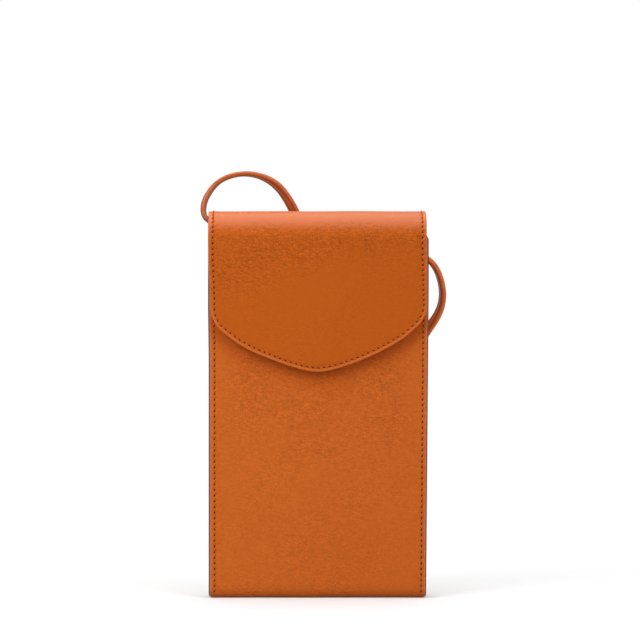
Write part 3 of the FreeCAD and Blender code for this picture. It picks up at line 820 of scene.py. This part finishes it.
panelBase = {
    "thickness": 1.5 * mm, "lift": 0.0, "bevel": 0.55 * mm, "drop": 0.28 * mm, "backDrop": 0.25 * mm,
    "groove": 0.06 * mm, "grooveHalf": 0.55 * mm, "pitDeep": 0.50 * mm, "pitLong": 0.58 * mm,
    "pitWide": 0.28 * mm, "slant": math.radians(28.0), "bulge": 0.08 * mm, "spacing": 1.8 * mm,
    "wallShares": (0.33, 0.67),
    # Rows in millimetres from the cut edge, and from the seam
    "outerRows": (0.0, 0.08, 0.22, 0.42, 0.66, 1.05),
    "seamRows": (-0.60, -0.30, 0.0, 0.30, 0.60), "innerRow": 1.5,
}


def roundedOff(depth, spec):        # 1 at a cut edge, 0 from the bevel's width inwards
    near = 1 - np.clip(depth / spec["bevel"], 0.0, 1.0)
    return 1 - np.sqrt(1 - near ** 2)


def edgeRows(rail, spec, insets, sewn):     # places of the rows along a rail, with edge, pit and depth
    holes, columns = sewnHoles(rail, sewn), rail["columns"]
    number = np.arange(len(rail["base"]))
    nearest = np.rint(number / columns).astype(int)
    along = (number - nearest * columns) * rail["pitch"] / columns
    depth = insets[:, None] * rail["squeeze"]
    across = depth - rail["inset"]
    turnCos, turnSin = math.cos(spec["slant"]), math.sin(spec["slant"])
    long, wide = along * turnCos - across * turnSin, along * turnSin + across * turnCos
    pit = holes[nearest] * np.exp(-(long / spec["pitLong"]) ** 2 - (wide / spec["pitWide"]) ** 2)
    stitched = np.interp(number / columns, np.arange(len(holes)), holes)
    groove = spec["groove"] * stitched * np.exp(-(across / spec["grooveHalf"]) ** 2)
    sunk = spec["drop"] * roundedOff(depth, spec) + groove + spec["pitDeep"] * pit
    rows = rail["base"][None] + depth[:, :, None] * rail["normal"][None]
    return rows.reshape(-1, 2), depth.ravel(), pit.ravel(), sunk.ravel()


def joinStrips(flat, strips, spacing):      # the loop inside all rows, and the ring round the whole hide
    loop, ring = [], []
    for strip, following in zip(strips, strips[1:] + strips[:1]):
        first, last = flat[strip[-1, -1]], flat[following[-1, 0]]
        count = max(1, round(np.linalg.norm(last - first) / spacing))
        shares = (np.arange(1, count) / count)[:, None]
        ends = len(flat) + np.arange(count - 1)         # where the hide runs on into its neighbour
        flat = np.concatenate([flat, first + shares * (last - first)])
        loop += [*strip[-1], *ends]
        ring += [*strip[0], *strip[1:, -1], *ends, *following[:0:-1, 0]]
    return flat, np.array(loop), np.array(ring)


def stripFaces(strip):
    corners = (strip[:-1, :-1], strip[:-1, 1:], strip[1:, 1:], strip[1:, :-1])
    return np.stack([corner.ravel() for corner in corners], 1).tolist()


def filled(parts, count, value):    # known values, and one value for all points after them
    known = np.concatenate(parts)
    return np.concatenate([known, np.full((count - len(known), *known.shape[1:]), value)])


def leatherPanel(name, rails, place, materials, sewn=None, flip=False, wave=None, slots=(), zones=None,
                 **changes):
    spec = dict(panelBase, **changes)       # materials are those of the outer face, cut edge and back
    seamAt = rails[0]["inset"]
    seamRows = [seamAt + row * mm for row in (*spec["seamRows"], spec["innerRow"])]
    insets = np.array([*(row * mm for row in spec["outerRows"]), *seamRows])
    flat, outward, known, strips = np.zeros((0, 2)), [], [], []
    for rail in rails:
        rows, *values = edgeRows(rail, spec, insets, sewn)
        strips.append(len(flat) + np.arange(len(rows)).reshape(len(insets), -1))
        flat = np.concatenate([flat, rows])
        outward.append(np.tile(-rail["normal"], (len(insets), 1)))
        known.append(values)
    flat, loop, ring = joinStrips(flat, strips, spec["spacing"])
    holes = []
    for slot in slots:
        holes.append(len(flat) + np.arange(len(slot)))
        flat = np.concatenate([flat, slot])
    flat, faces = fillInside(flat, loop, holes, spec["spacing"])
    count = len(flat)
    outward = filled(outward, count, 0.0)
    edge, pit, sunk = (filled(parts, count, value) for parts, value in zip(zip(*known), (inland, 0.0, 0.0)))
    for strip in strips:
        faces += stripFaces(strip)
    ripple = np.zeros(count) if wave is None else wave(flat[:, 0], flat[:, 1])
    top = spec["lift"] + ripple - sunk
    under = spec["lift"] + ripple - spec["thickness"] + spec["backDrop"] * roundedOff(edge, spec)

    # Walls round the cut edge and the slots
    layers = [(flat, top), (flat, under)]
    faceMaterial = [0] * len(faces) + [2] * len(faces)
    faces = faces + [[count + corner for corner in face[::-1]] for face in faces]
    total = 2 * count
    for rim in (ring, *holes):
        size = len(rim)
        spots, tall = flat[rim] + spec["bulge"] * outward[rim], under[rim] - top[rim]
        layers += [(spots, top[rim] + share * tall) for share in spec["wallShares"]]
        courses = [rim, total + np.arange(size), total + size + np.arange(size), count + rim]
        for upper, lower in zip(courses, courses[1:]):
            faces += np.stack([lower, np.roll(lower, -1), np.roll(upper, -1), upper], 1).tolist()
            faceMaterial += [1] * size
        total += 2 * size
    points = np.concatenate([place(spot[:, 0], spot[:, 1], height) for spot, height in layers])
    hide = np.concatenate([np.stack([spot[:, 0], -spot[:, 1], height], 1) for spot, height in layers])
    wall = np.zeros(total - 2 * count)
    attributes = {"hide": hide, "edge": np.concatenate([edge, edge, wall]),
                  "pit": np.concatenate([pit, 0 * pit, wall])}
    for key, zone in (zones or {}).items():
        share = zone(flat[:, 0], flat[:, 1])
        attributes[key] = np.concatenate([share, share, wall])
    if flip:
        faces = [face[::-1] for face in faces]
    made = addMesh(name, points, faces, materials, faceMaterial, attributes)
    print(name, len(points), "points")
    return made


# Stitches: short twisted bars that dive into their holes
stitch = {
    "radius": 0.28 * mm, "share": 0.60, "rise": 0.08 * mm, "dive": 0.46 * mm, "slant": math.radians(7.0),
    "strands": 2, "lobes": 0.10, "twist": 5, "sides": 8, "sharp": 60.0, "probe": 0.05 * mm,
    "ringShares": (-1.0, -0.9, -0.68, -0.36, 0.0, 0.36, 0.68, 0.9, 1.0),
    "blunt": 1.02, "taperPower": 5, "divePower": 4,
}


def stitchBar(length):              # along, across and up of every point of one stitch
    angles = np.arange(stitch["sides"]) * fullTurn / stitch["sides"]
    ring, angle = np.meshgrid(stitch["ringShares"], angles, indexing="ij")
    taper = np.sqrt(stitch["blunt"] - np.abs(ring) ** stitch["taperPower"])
    twisted = 1 + stitch["lobes"] * np.cos(stitch["strands"] * angle + stitch["twist"] * ring)
    radius = stitch["radius"] * taper * twisted
    height = stitch["rise"] - stitch["dive"] * np.abs(ring) ** stitch["divePower"]
    return np.stack([ring * length / 2, radius * np.cos(angle), height + radius * np.sin(angle)], 2)


def seamStitches(rail, place, lift, sewn=None, under=False, pick=None):     # centre, along, outward and pitch
    holes, columns, line = sewnHoles(rail, sewn), rail["columns"], seamLine(rail)
    numbers = np.nonzero(holes[:-1] * holes[1:])[0] * columns + columns // 2
    if pick is not None:
        numbers = numbers[pick(line[numbers, 0], line[numbers, 1])]
    spot, tiny = line[numbers], stitch["probe"]
    ahead = spot + tiny * unit(line[numbers + 1] - line[numbers - 1])
    height = np.full(len(spot), lift)
    centre = place(spot[:, 0], spot[:, 1], height)
    along = unit(place(ahead[:, 0], ahead[:, 1], height) - centre)
    outward = unit(place(spot[:, 0], spot[:, 1], height + tiny) - centre)
    return centre, along, -outward if under else outward, rail["pitch"]


def threadPiece(name, groups):
    points, faces, start = [], [], 0
    barFaces = tubeFaces(len(stitch["ringShares"]), stitch["sides"])
    for centre, along, outward, pitch in groups:
        bar = stitchBar(pitch * stitch["share"])
        across = np.cross(outward, along)
        leaning = along * math.cos(stitch["slant"]) + across * math.sin(stitch["slant"])
        across = np.cross(outward, leaning)
        for middle, ahead, aside, up in zip(centre, leaning, across, outward):
            points.append(middle + (bar @ np.stack([ahead, aside, up])).reshape(-1, 3))
            faces += [[start + corner for corner in face] for face in barFaces]
            start += len(points[-1])
    points = np.concatenate(points)
    made = addMesh(name, points, faces, [finish["thread"]], None, {"hide": points}, stitch["sharp"])
    return made


# The pattern, and the hide's line in side view: front rim, down, under, up the back, over and down to the tip
pattern = {
    "leather": panelBase["thickness"], "lining": 0.8 * mm, "glue": 0.05 * mm, "liningInset": 0.25 * mm,
    "bottomRadius": 4.5 * mm, "rearRoll": 9.5 * mm, "topBand": 1.0 * mm, "splitZ": 176.0 * mm,
    "rimCorner": 2.6 * mm, "rimRowsAt": (1.0, 1.9), "rimRows": (0.52, 1.0), "edgeBulge": 0.55 * mm,
    "pitch": 2.75 * mm, "bodySeam": 2.0 * mm, "flapSeam": 1.75 * mm, "seamMargin": 5.2 * mm,
    "seamFoot": 3.4 * mm, "cornerRadius": 12.0 * mm, "tipRadius": 40.0 * mm, "tipRise": 0.12 * mm,
    "tipTurn": math.radians(15.0), "edgeTurn": math.radians(38.0), "easeTurn": 0.1, "edgePoints": 400,
}
bottomRadius, rearRoll = pattern["bottomRadius"], pattern["rearRoll"]
frontRoll = backY - flapFaceY - rearRoll - pattern["topBand"]
flatZ = topZ - frontRoll
hideTrack = Track((frontY, mouthZ), -quarter, [
    straight(mouthZ - bottomRadius), bend(bottomRadius, quarter), straight(backY - frontY - 2 * bottomRadius),
    bend(bottomRadius, quarter), straight(topZ - rearRoll - bottomRadius), bend(rearRoll, quarter),
    straight(pattern["topBand"]), bend(frontRoll, quarter), straight(flatZ - tipZ),
])
_, footAt, underAt, _, backAt, rollAt, bandAt, _, _ = hideTrack.starts
topAt, tipAt = bandAt + pattern["topBand"] / 2, hideTrack.length
splitAt = rollAt - (topZ - rearRoll - pattern["splitZ"])
lowerTurn, tipTurn = pattern["edgeTurn"], pattern["tipTurn"]
tipRadius, cornerRadius = pattern["tipRadius"], pattern["cornerRadius"]
lowerSpan = halfFlap - tipRadius * math.sin(tipTurn) - cornerRadius * (1 - math.sin(lowerTurn))
lowerRadius = lowerSpan / (math.sin(lowerTurn) - math.sin(tipTurn))
flapDrop = (tipRadius * (1 - math.cos(tipTurn)) + lowerRadius * (math.cos(tipTurn) - math.cos(lowerTurn))
            + cornerRadius * math.cos(lowerTurn))
shoulderAt = tipAt - flapDrop

# Handmade leather is never quite true: how far the sides stand out from the pattern, in millimetres
handwork = {
    "leftTop": 0.20, "leftFoot": -0.10, "leftBand": (118.0, 140.0), "rightTop": 0.10, "rightFoot": -1.17,
    "straightAbove": 150.0, "footRound": 2.0, "footIn": 0.45,
    "flapDown": (5.0, 12.0, 24.0, 33.0, 44.0, 52.0, 56.0, 62.0),        # from the top of the roll
    "flapLeft": (1.35, 1.30, 1.30, 1.25, 0.80, 0.42, 0.18, -0.15),
    "flapRight": (0.10, 0.25, 0.18, 0.27, 0.50, 0.62, 0.62, 0.50),
    "trimAt": (-51.5, -48.0, -40.0, -32.0, -23.0, -12.0, 0.0, 10.5, 22.0, 41.5, 45.5, 49.5, 52.2),
    "trim": (0.9, 0.34, -0.2, -0.05, 0.55, 0.45, 0.05, 0.75, 1.15, 1.3, 1.95, 2.75, 3.2), "trimRun": 25.0,
    "seamAt": (0.0, 1.8, 6.0), "bodySeamIn": (0.37, 0.0), "flapSeamIn": (0.5, 0.2), "seamFade": 6.0,
}


def bodySway(x, z):
    up, top, foot = z / mm, handwork["rightTop"], handwork["rightFoot"]
    right = top + (foot - top) * np.clip(1 - up / handwork["straightAbove"], 0.0, 1.0)
    left = np.interp(up, handwork["leftBand"], (handwork["leftFoot"], handwork["leftTop"]))
    drawn = handwork["footIn"] * np.clip(1 - up / handwork["footRound"], 0.0, 1.0) ** 2
    return (np.where(x > 0, right, left) - drawn) * mm * x / halfBody


def flapSway(x, distance):
    down = (distance - topAt) / mm
    left, right = (np.interp(down, handwork["flapDown"], handwork[key]) for key in ("flapLeft", "flapRight"))
    return np.where(x > 0, right, left) * mm * x / halfFlap


def seamShift(across, distance, share):     # the side seams run a little further in than the pattern has them
    inset = halfBody + share * (halfFlap - halfBody) - np.abs(across)
    near = np.interp(inset / mm, handwork["seamAt"], (0.0, 1.0, 0.0))
    body, flap = (np.where(across < 0, *handwork[key]) for key in ("bodySeamIn", "flapSeamIn"))
    fade = np.clip((shoulderAt - distance) / mm / handwork["seamFade"], 0.0, 1.0)
    return -np.sign(across) * near * fade * (body + share * (flap - body)) * mm


def flapTrim(across, distance):     # nor is the lower edge cut quite even
    share = np.clip(1 + (distance - shoulderAt) / mm / handwork["trimRun"], 0.0, 1.0)
    return share * np.interp(across / mm, handwork["trimAt"], handwork["trim"]) * mm


def hidePlace(across, up, height):  # a point of the flat hide, as far as height above its outer face
    distance = -up - flapTrim(across, -up)
    line, headings = hideTrack.at(distance)
    y = line[:, 0] + height * np.sin(headings)
    z = line[:, 1] - height * np.cos(headings)
    share = np.clip((distance - rollAt) / (topAt - rollAt), 0.0, 1.0)
    x = across + (1 - share) * bodySway(across, z) + share * flapSway(across, distance)
    x = x + seamShift(across, -up, share)
    return np.stack([x, y, z], 1)


uneven = {                          # waves with their lengths in millimetres and where they start
    "rise": 0.07 * mm, "calmEdge": 14.0, "broad": ((17.0, 1.3), (23.0, 0.4)),
    "slanted": ((0.6, 9.1, 13.7, 2.0), (0.4, 6.3, -7.9, 0.0)),          # the first number is the share
}


def softWave(across, up):           # the slight unevenness of a hide
    u, v = across / mm, up / mm
    (long, longStart), (tall, tallStart) = uneven["broad"]
    wave = np.sin(u / long + longStart) * np.sin(v / tall + tallStart)
    for share, long, tall, start in uneven["slanted"]:
        wave = wave + share * np.sin(u / long + v / tall + start)
    calm = np.clip((halfBody / mm - np.abs(u)) / uneven["calmEdge"], 0.0, 1.0)
    return uneven["rise"] * wave * calm


# Body: front panel, bottom fold and back panel
bodyLook = {
    "swell": 0.55 * mm, "swellAt": 118 * mm, "swellReach": 46 * mm,
    "grainAt": (55.0, 68.0, 95.0, 118.0), "grain": (0.50, 0.84, 0.84, 0.54),      # millimetres down the front
    "sideAt": (36.0, 45.0), "sideGrain": (1.0, 0.55),                             # and out from the middle
    "rim": 0.15, "shadeBelow": 2.0, "shadeReach": 6.5,                                # and below the flap's edge, for the painted shade
}


def bodyWave(across, up):           # the front panel swells a little below the flap
    crown = np.cos(np.clip(across / halfBody, -1, 1) * quarter) ** 2
    low = np.exp(-((-up - bodyLook["swellAt"]) / bodyLook["swellReach"]) ** 2)
    return softWave(across, up) + bodyLook["swell"] * crown * low


def bodyGrain(across, up):          # strongest where the front panel bends below the flap
    bent = np.interp(-up / mm, bodyLook["grainAt"], bodyLook["grain"])
    return bent * np.interp(np.abs(across) / mm, bodyLook["sideAt"], bodyLook["sideGrain"])


def bodyRim(across, up):
    return np.full(len(across), bodyLook["rim"])


def bodySewn(across, up):
    distance = -up
    atSide = np.abs(across) > halfBody - 2 * pattern["bodySeam"]
    frontRun = (distance > pattern["seamMargin"]) & (distance < footAt + pattern["seamFoot"])
    backRun = distance > backAt - pattern["seamFoot"]
    return atSide & (frontRun | backRun)


flapSide = straight(shoulderAt - topAt - pattern["tipRise"])
flapCorner, flapLower = bend(cornerRadius, quarter - lowerTurn), bend(lowerRadius, lowerTurn - tipTurn)
flapTrack = Track((-halfFlap, -topAt), -quarter, [
    flapSide, flapCorner, flapLower, bend(tipRadius, 2 * tipTurn), flapLower, flapCorner, flapSide,
])
lowerEdge = flapTrack.at(np.linspace(flapTrack.starts[1], flapTrack.starts[-1], pattern["edgePoints"]))[0]
lowerEdge = hidePlace(lowerEdge[:, 0], lowerEdge[:, 1], np.zeros(len(lowerEdge)))


def bodyFlapShade(across, up):            # painted shade: a darker, redder band just below the flap's edge
    below = (np.interp(across, lowerEdge[:, 0], lowerEdge[:, 2]) - (mouthZ + up)) / mm
    return np.exp(-((below - bodyLook["shadeBelow"]) / bodyLook["shadeReach"]) ** 2) * (-up < footAt)


def narrowRim(rail, depth):         # rows closer together along the rim and its corners
    rail["squeeze"] = np.interp(depth / pattern["rimCorner"], pattern["rimRowsAt"], pattern["rimRows"])


bodyTrack = roundedRun((halfBody, -splitAt), quarter, splitAt, 2 * halfBody, pattern["rimCorner"])
bodyRail = makeRail(bodyTrack, pattern["bodySeam"], pattern["pitch"])
narrowRim(bodyRail, -bodyRail["base"][:, 1])
bodyHides = [finish["body"], finish["paintedEdge"], finish["flesh"]]
bodyZones = {"grain": bodyGrain, "flapShade": bodyFlapShade, "rim": bodyRim}
bodyShell = leatherPanel("body_shell", [bodyRail], hidePlace, bodyHides, bodySewn, wave=bodyWave,
                         zones=bodyZones, bulge=pattern["edgeBulge"])
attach(bodyShell, "pouch")
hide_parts("body_wrap")
print("body ready")


# Flap: the roll at the back, then one piece from the top over the front to the tip
flapLook = {                        # millimetres down from the top of the roll
    "grainAt": (-20.0, -10.0, 12.0, 18.0), "grain": (0.6, 0.0, 0.0, 1.0),
    "endAcross": (-20.0, 8.0), "endAt": (40.0, 25.0),           # where it calms again, from left to right
    "fadeAt": (0.0, 13.0), "fade": (1.0, 0.15),
    "darkAt": (-20.0, -5.0), "dark": (0.0, 1.0),
    "rimAt": (-5.0, 4.0), "rim": (0.3, 1.0),                    # down from the shoulder
    "polishAt": (-16.0, -6.0, 7.4, 9.2, 11.0, 13.5, 16.0, 17.0, 19.5),
    "polish": (0.0, 0.20, 0.24, 0.38, 0.52, 0.58, 0.36, 0.26, 0.0),
}


def flapGrain(across, up):          # drawn smooth over the roll, wrinkled below it
    down = (-up - topAt) / mm
    end = np.interp(across / mm, flapLook["endAcross"], flapLook["endAt"])
    start = np.interp(down, flapLook["grainAt"], flapLook["grain"])
    return start * np.interp(down - end, flapLook["fadeAt"], flapLook["fade"])


def flapDark(across, up):           # the flap is a shade deeper than the back panel that it grows from
    return np.interp((-up - topAt) / mm, flapLook["darkAt"], flapLook["dark"])


def flapRimLight(across, up):            # palest along the lower edge, partly painted light where the bevel faces down
    return np.interp((-up - shoulderAt) / mm, flapLook["rimAt"], flapLook["rim"])


def flapPolish(across, up):         # the roll is rubbed to a shine
    return np.interp((-up - topAt) / mm, flapLook["polishAt"], flapLook["polish"])


def noHoles(across, up):
    return np.zeros(len(across), bool)


def bothSides(track, seamInset, shrink=0.0):
    rail = makeRail(track, seamInset, pattern["pitch"], shrink=shrink)
    return [rail, mirrorRail(rail)]


easeTurn = pattern["easeTurn"]      # the roll narrows from the body to the flap in a soft double bend
easeRadius = (halfBody - halfFlap) / (2 * (1 - math.cos(easeTurn)))
easeRun = 2 * easeRadius * math.sin(easeTurn)
rearTrack = Track((-halfBody, -splitAt), -quarter, [
    bend(easeRadius, easeTurn), bend(easeRadius, -easeTurn), straight(topAt - splitAt - easeRun),
])
rearSeam, flapSeam = (pattern["bodySeam"] + pattern["flapSeam"]) / 2, pattern["flapSeam"]
rearRails = bothSides(rearTrack, rearSeam)
flapRail = makeRail(flapTrack, flapSeam, pattern["pitch"])
flapHides = [finish["flap"], finish["flapEdge"], finish["flesh"]]
flapZones = {"grain": flapGrain, "polish": flapPolish, "rim": flapRimLight, "dark": flapDark}
flapRear = leatherPanel("flap_rear_roll", rearRails, hidePlace, flapHides, wave=softWave, zones=flapZones)
flapFront = leatherPanel("flap_front_panel", [flapRail], hidePlace, flapHides, wave=softWave, zones=flapZones)

liningHides = [finish["lining"], finish["flapEdge"], finish["lining"]]
liningPanel = {
    "lift": -(pattern["leather"] + pattern["glue"]), "thickness": pattern["lining"], "wave": softWave,
    "groove": 0.0, "pitDeep": 0.0, "bevel": 0.3 * mm, "drop": 0.1 * mm, "backDrop": 0.15 * mm,
}
rearLiningRails = bothSides(rearTrack, rearSeam, pattern["liningInset"])
liningRail = makeRail(flapTrack, flapSeam, pattern["pitch"], shrink=pattern["liningInset"])
liningRear = leatherPanel("flap_rear_lining", rearLiningRails, hidePlace, liningHides, noHoles, **liningPanel)
liningFront = leatherPanel("flap_front_lining_hide", [liningRail], hidePlace, liningHides, noHoles,
                           **liningPanel)


def flapStitches(rail):             # on the hide and, from the same holes, on the lining
    liningFace = liningPanel["lift"] - pattern["lining"]
    return [seamStitches(rail, hidePlace, 0.0), seamStitches(rail, hidePlace, liningFace, under=True)]


threadRear = threadPiece("flap_roll_thread", [group for rail in rearRails for group in flapStitches(rail)])
threadFront = threadPiece("flap_seam_thread", flapStitches(flapRail))

for piece, nodeName, slotName in (
    (flapRear, "flap_top_leather", "tan_leather"), (liningRear, "flap_top_lining", "flap_lining"),
    (threadRear, "flap_top_thread", "thread"),
):
    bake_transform(piece)
    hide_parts(nodeName)
for piece, nodeName, slotName in (
    (flapFront, "flap_front_leather", "tan_leather"), (liningFront, "flap_front_lining", "flap_lining"),
    (threadFront, "flap_edge_thread", "thread"),
):
    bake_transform(piece)
    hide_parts(nodeName)
print("flap ready")


# Side gussets: a thinner hide folded inwards, its two strips sewn to the panels
gusset = {
    "leather": 1.2 * mm, "strip": 5.5 * mm, "proud": 0.45 * mm, "valley": 9.0 * mm, "floor": 8.0 * mm,
    "foldRadius": 1.1 * mm, "seamFoot": 0.8 * mm,
    "slotLong": 2.7 * mm, "slotWide": 1.65 * mm, "slotPoints": 24,
}
gussetPanel = {
    "thickness": gusset["leather"], "bevel": 0.35 * mm, "drop": 0.2 * mm, "backDrop": 0.1 * mm,
    "spacing": 1.5 * mm,
}
sides = ((1, "right"), (-1, "left"))


def gussetTrack():                  # its outer face in section, from the front strip to the back strip
    outerY = backY - pattern["leather"] - pattern["glue"] - gusset["leather"]
    edgeX = halfBody + gusset["proud"]
    fall = (gusset["valley"] - gusset["strip"], outerY - gusset["floor"] / 2)
    lean = math.atan2(fall[1], fall[0])
    wall = math.hypot(*fall)
    radius = gusset["foldRadius"]
    stripCut, floorCut = (radius * math.tan(turn / 2) for turn in (lean, quarter - lean))
    half = [straight(gusset["proud"] + gusset["strip"] - stripCut), bend(radius, -lean),
            straight(wall - stripCut - floorCut), bend(radius, -(quarter - lean))]
    floorRun = straight(gusset["floor"] - 2 * floorCut)
    return Track((edgeX, -outerY), math.pi, half + [floorRun] + half[::-1])


sectionTrack = gussetTrack()
gussetGirth = sectionTrack.length


def gussetPlace(side):
    def place(around, up, height):
        line, headings = sectionTrack.at(around)
        x = side * (line[:, 0] + height * np.sin(headings))
        y = line[:, 1] - height * np.cos(headings)
        room = bottomRadius - pattern["leather"] - pattern["glue"]
        low = np.clip(bottomRadius - up, 0.0, room)
        reach = backY - bottomRadius + np.sqrt(room ** 2 - low ** 2)
        y = y * reach / (backY - bottomRadius + room)
        return np.stack([x + bodySway(x, up), y, up], 1)
    return place


def gussetSewn(around, up):
    return (up > bottomRadius + gusset["seamFoot"]) & (up < mouthZ - pattern["seamMargin"])


gussetOutline = roundedRun((gussetGirth, gussetFoot), quarter, mouthZ - gussetFoot, gussetGirth,
                           pattern["rimCorner"])
gussetRail = makeRail(gussetOutline, pattern["bodySeam"] + gusset["proud"], pattern["pitch"])
narrowRim(gussetRail, mouthZ - gussetRail["base"][:, 1])
strapZ = strapPoints[0][2]
slotTurns = -np.arange(gusset["slotPoints"]) * fullTurn / gusset["slotPoints"]
strapSlot = np.stack([gussetGirth / 2 + gusset["slotLong"] * np.cos(slotTurns),
                      strapZ + gusset["slotWide"] * np.sin(slotTurns)], 1)
gussetHides = [finish["gusset"], finish["paintedEdge"], finish["flesh"]]
for side, sideName in sides:
    made = leatherPanel("gusset_fold_" + sideName, [gussetRail], gussetPlace(side), gussetHides, gussetSewn,
                        flip=side < 0, slots=[strapSlot], **gussetPanel)
    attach(made, "pouch")
    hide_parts("gusset_" + sideName)
print("gussets ready")


def onBodySeam(side, front):
    def pick(across, up):
        return (across * side > 0) & ((-up < underAt) == front)
    return pick


def onGussetSeam(front):
    def pick(around, up):
        return (around < gussetGirth / 2) == front
    return pick


for side, sideName in sides:
    for face in ("front", "back"):
        front = face == "front"
        outer = seamStitches(bodyRail, hidePlace, 0.0, bodySewn, pick=onBodySeam(side, front))
        inner = seamStitches(gussetRail, gussetPlace(side), 0.0, gussetSewn, pick=onGussetSeam(front))
        made = threadPiece("%s_seam_thread_%s" % (face, sideName), [outer, inner])
        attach(made, "pouch")
        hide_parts("seam_thread_%s_%s" % (face, sideName))
print("seams ready")


# Magnetic snap, turned round its own line; profiles give radius and place behind the front panel's face,
# in millimetres
snap = {
    "rise": 15.0 * mm, "turns": 72, "sharp": 30.0,
    "socket": [(0.0, -0.4), (2.4, -0.4), (2.4, -1.5), (2.6, -1.7), (4.3, -1.7), (4.5, -1.6), (4.7, -1.7),
               (6.5, -1.7), (6.85, -1.58), (7.0, -1.25), (7.0, 0.0), (6.0, 0.0), (6.0, -1.2), (3.4, -1.2),
               (3.4, 0.0), (1.5, 0.0), (1.5, 2.0), (0.0, 2.0)],
    "stud": [(0.0, -3.85), (1.5, -3.85), (1.5, -2.5), (6.5, -2.5), (6.5, -2.2), (6.3, -2.0), (4.6, -2.0),
             (4.4, -2.08), (4.2, -2.0), (2.0, -2.0), (1.8, -1.85), (1.8, -1.1), (1.5, -0.8), (0.0, -0.8)],
    "patch": [(0.0, 2.1), (4.6, 2.1), (4.6, 1.5), (9.2, 1.5), (10.0, 1.5), (10.0, 2.3), (9.85, 2.55),
              (9.4, 2.7), (8.6, 2.7), (7.6, 2.7), (6.0, 2.7), (3.0, 2.7), (0.0, 2.7)],
}
snapZ = tipZ + snap["rise"]


def lathe(name, profile, material):         # a profile that starts and ends on the line
    turns = snap["turns"]
    angles = np.arange(turns) * fullTurn / turns
    profile = np.array(profile) * mm
    radius, back = profile[1:-1].T
    points = np.stack([np.outer(radius, np.cos(angles)), np.repeat(back[:, None], turns, 1),
                       np.outer(radius, np.sin(angles))], 2).reshape(-1, 3)
    first, last, end = len(points), len(points) + 1, len(points) - turns
    points = np.concatenate([points, [(0.0, profile[0, 1], 0.0)], [(0.0, profile[-1, 1], 0.0)]])
    faces = []
    for turn in range(turns):
        following = (turn + 1) % turns
        for ring in range(len(radius) - 1):
            low, high = ring * turns, (ring + 1) * turns
            faces.append([low + turn, high + turn, high + following, low + following])
        faces.append([first, turn, following])
        faces.append([end + turn, last, end + following])
    edge = profile[:, 0].max() - np.hypot(points[:, 0], points[:, 2])
    attributes = {"hide": points[:, [0, 2, 1]], "edge": edge}
    return addMesh(name, points + (0.0, frontY, snapZ), faces, [material], None, attributes, snap["sharp"])


for profile, nodeName, material, slotName, carrier in (
    ("socket", "snap_socket_case", finish["brass"], "snap_metal", "pouch"),
    ("patch", "snap_patch", finish["body"], "tan_leather", "pouch"),
    ("stud", "snap_stud", finish["brass"], "snap_metal", "flap_front"),
):
    made = lathe("snap_%s_turned" % profile, snap[profile], material)
    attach(made, carrier)
    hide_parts(nodeName)
for nodeName, material in (
    ("snap_magnet", "magnet"), ("snap_socket_cap", "brass"), ("snap_stud_cap", "brass"),
):
    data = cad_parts[nodeName].data
    data.materials.clear()
    data.materials.append(finish[material])
print("snap ready")


# Strap ends: flat inside the gussets, each sewn down with a few stitches
tab = {
    "length": 15.0 * mm, "over": 3.0 * mm, "thickness": 1.6 * mm, "corner": 1.6 * mm, "gap": 0.05 * mm,
    "stitches": 3, "pitch": pattern["pitch"], "firstDrop": 3.8 * mm, "stemPoints": 6,
    "railInset": 1.5 * mm, "railPitch": 1.2 * mm, "railColumns": 3,
}
tabPanel = {
    "thickness": tab["thickness"], "bevel": 0.6 * mm, "drop": 0.4 * mm, "backDrop": 0.1 * mm,
    "spacing": 0.9 * mm, "outerRows": (0.0, 0.15, 0.35, 0.6), "seamRows": (-0.4,), "innerRow": 0.0,
}
gussetInside = sectionTrack.at([gussetGirth / 2])[0][0, 0] - gusset["leather"]
tabTop = strapZ + tab["over"]
tabTrack = roundedRun((-strap["width"] / 2, tabTop), -quarter, tab["length"], strap["width"], tab["corner"])
tabRail = makeRail(tabTrack, tab["railInset"], tab["railPitch"], tab["railColumns"])


def tabPlace(side):                 # faces the inside of the pouch
    def place(across, up, height):
        x = gussetInside - tab["gap"] - tab["thickness"] - height
        x = side * (x + np.zeros(len(across)))
        return np.stack([x + bodySway(x, up), -across, up], 1)
    return place


def addStem(side, sideName):        # from the tab out through the slot to the strap's end
    start = np.array((side * (gussetInside - tab["thickness"] / 2), 0.0, strapZ))
    points = np.linspace(start, strapPoints[-1 if side > 0 else 0], tab["stemPoints"])
    facing = np.tile((0.0, 0.0, -1.0), (len(points), 1))
    section, groove = strapSection()
    return sweep("strap_stem_" + sideName, points, facing, section, finish["strap"], groove)


def addSewing(side, sideName):
    drops = tabTop - tab["firstDrop"] - tab["over"] - np.arange(tab["stitches"]) * tab["pitch"]
    count = len(drops)
    centre = tabPlace(side)(np.zeros(count), drops, np.zeros(count))
    along, facing = np.tile((0.0, 0.0, 1.0), (count, 1)), np.tile((-side, 0.0, 0.0), (count, 1))
    return threadPiece("strap_end_sewing_" + sideName, [(centre, along, facing, tab["pitch"])])


for side, sideName in sides:
    flat = leatherPanel("strap_end_flat_" + sideName, [tabRail], tabPlace(side), [finish["strap"]] * 3,
                        noHoles, flip=side < 0, **tabPanel)
    stem = addStem(side, sideName)
    sewing = addSewing(side, sideName)
    for piece, nodeName in ((flat, "strap_end_"), (stem, "strap_end_"), (sewing, "strap_end_thread_")):
        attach(piece, "pouch")
        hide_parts(nodeName + sideName)
print("strap ends ready")
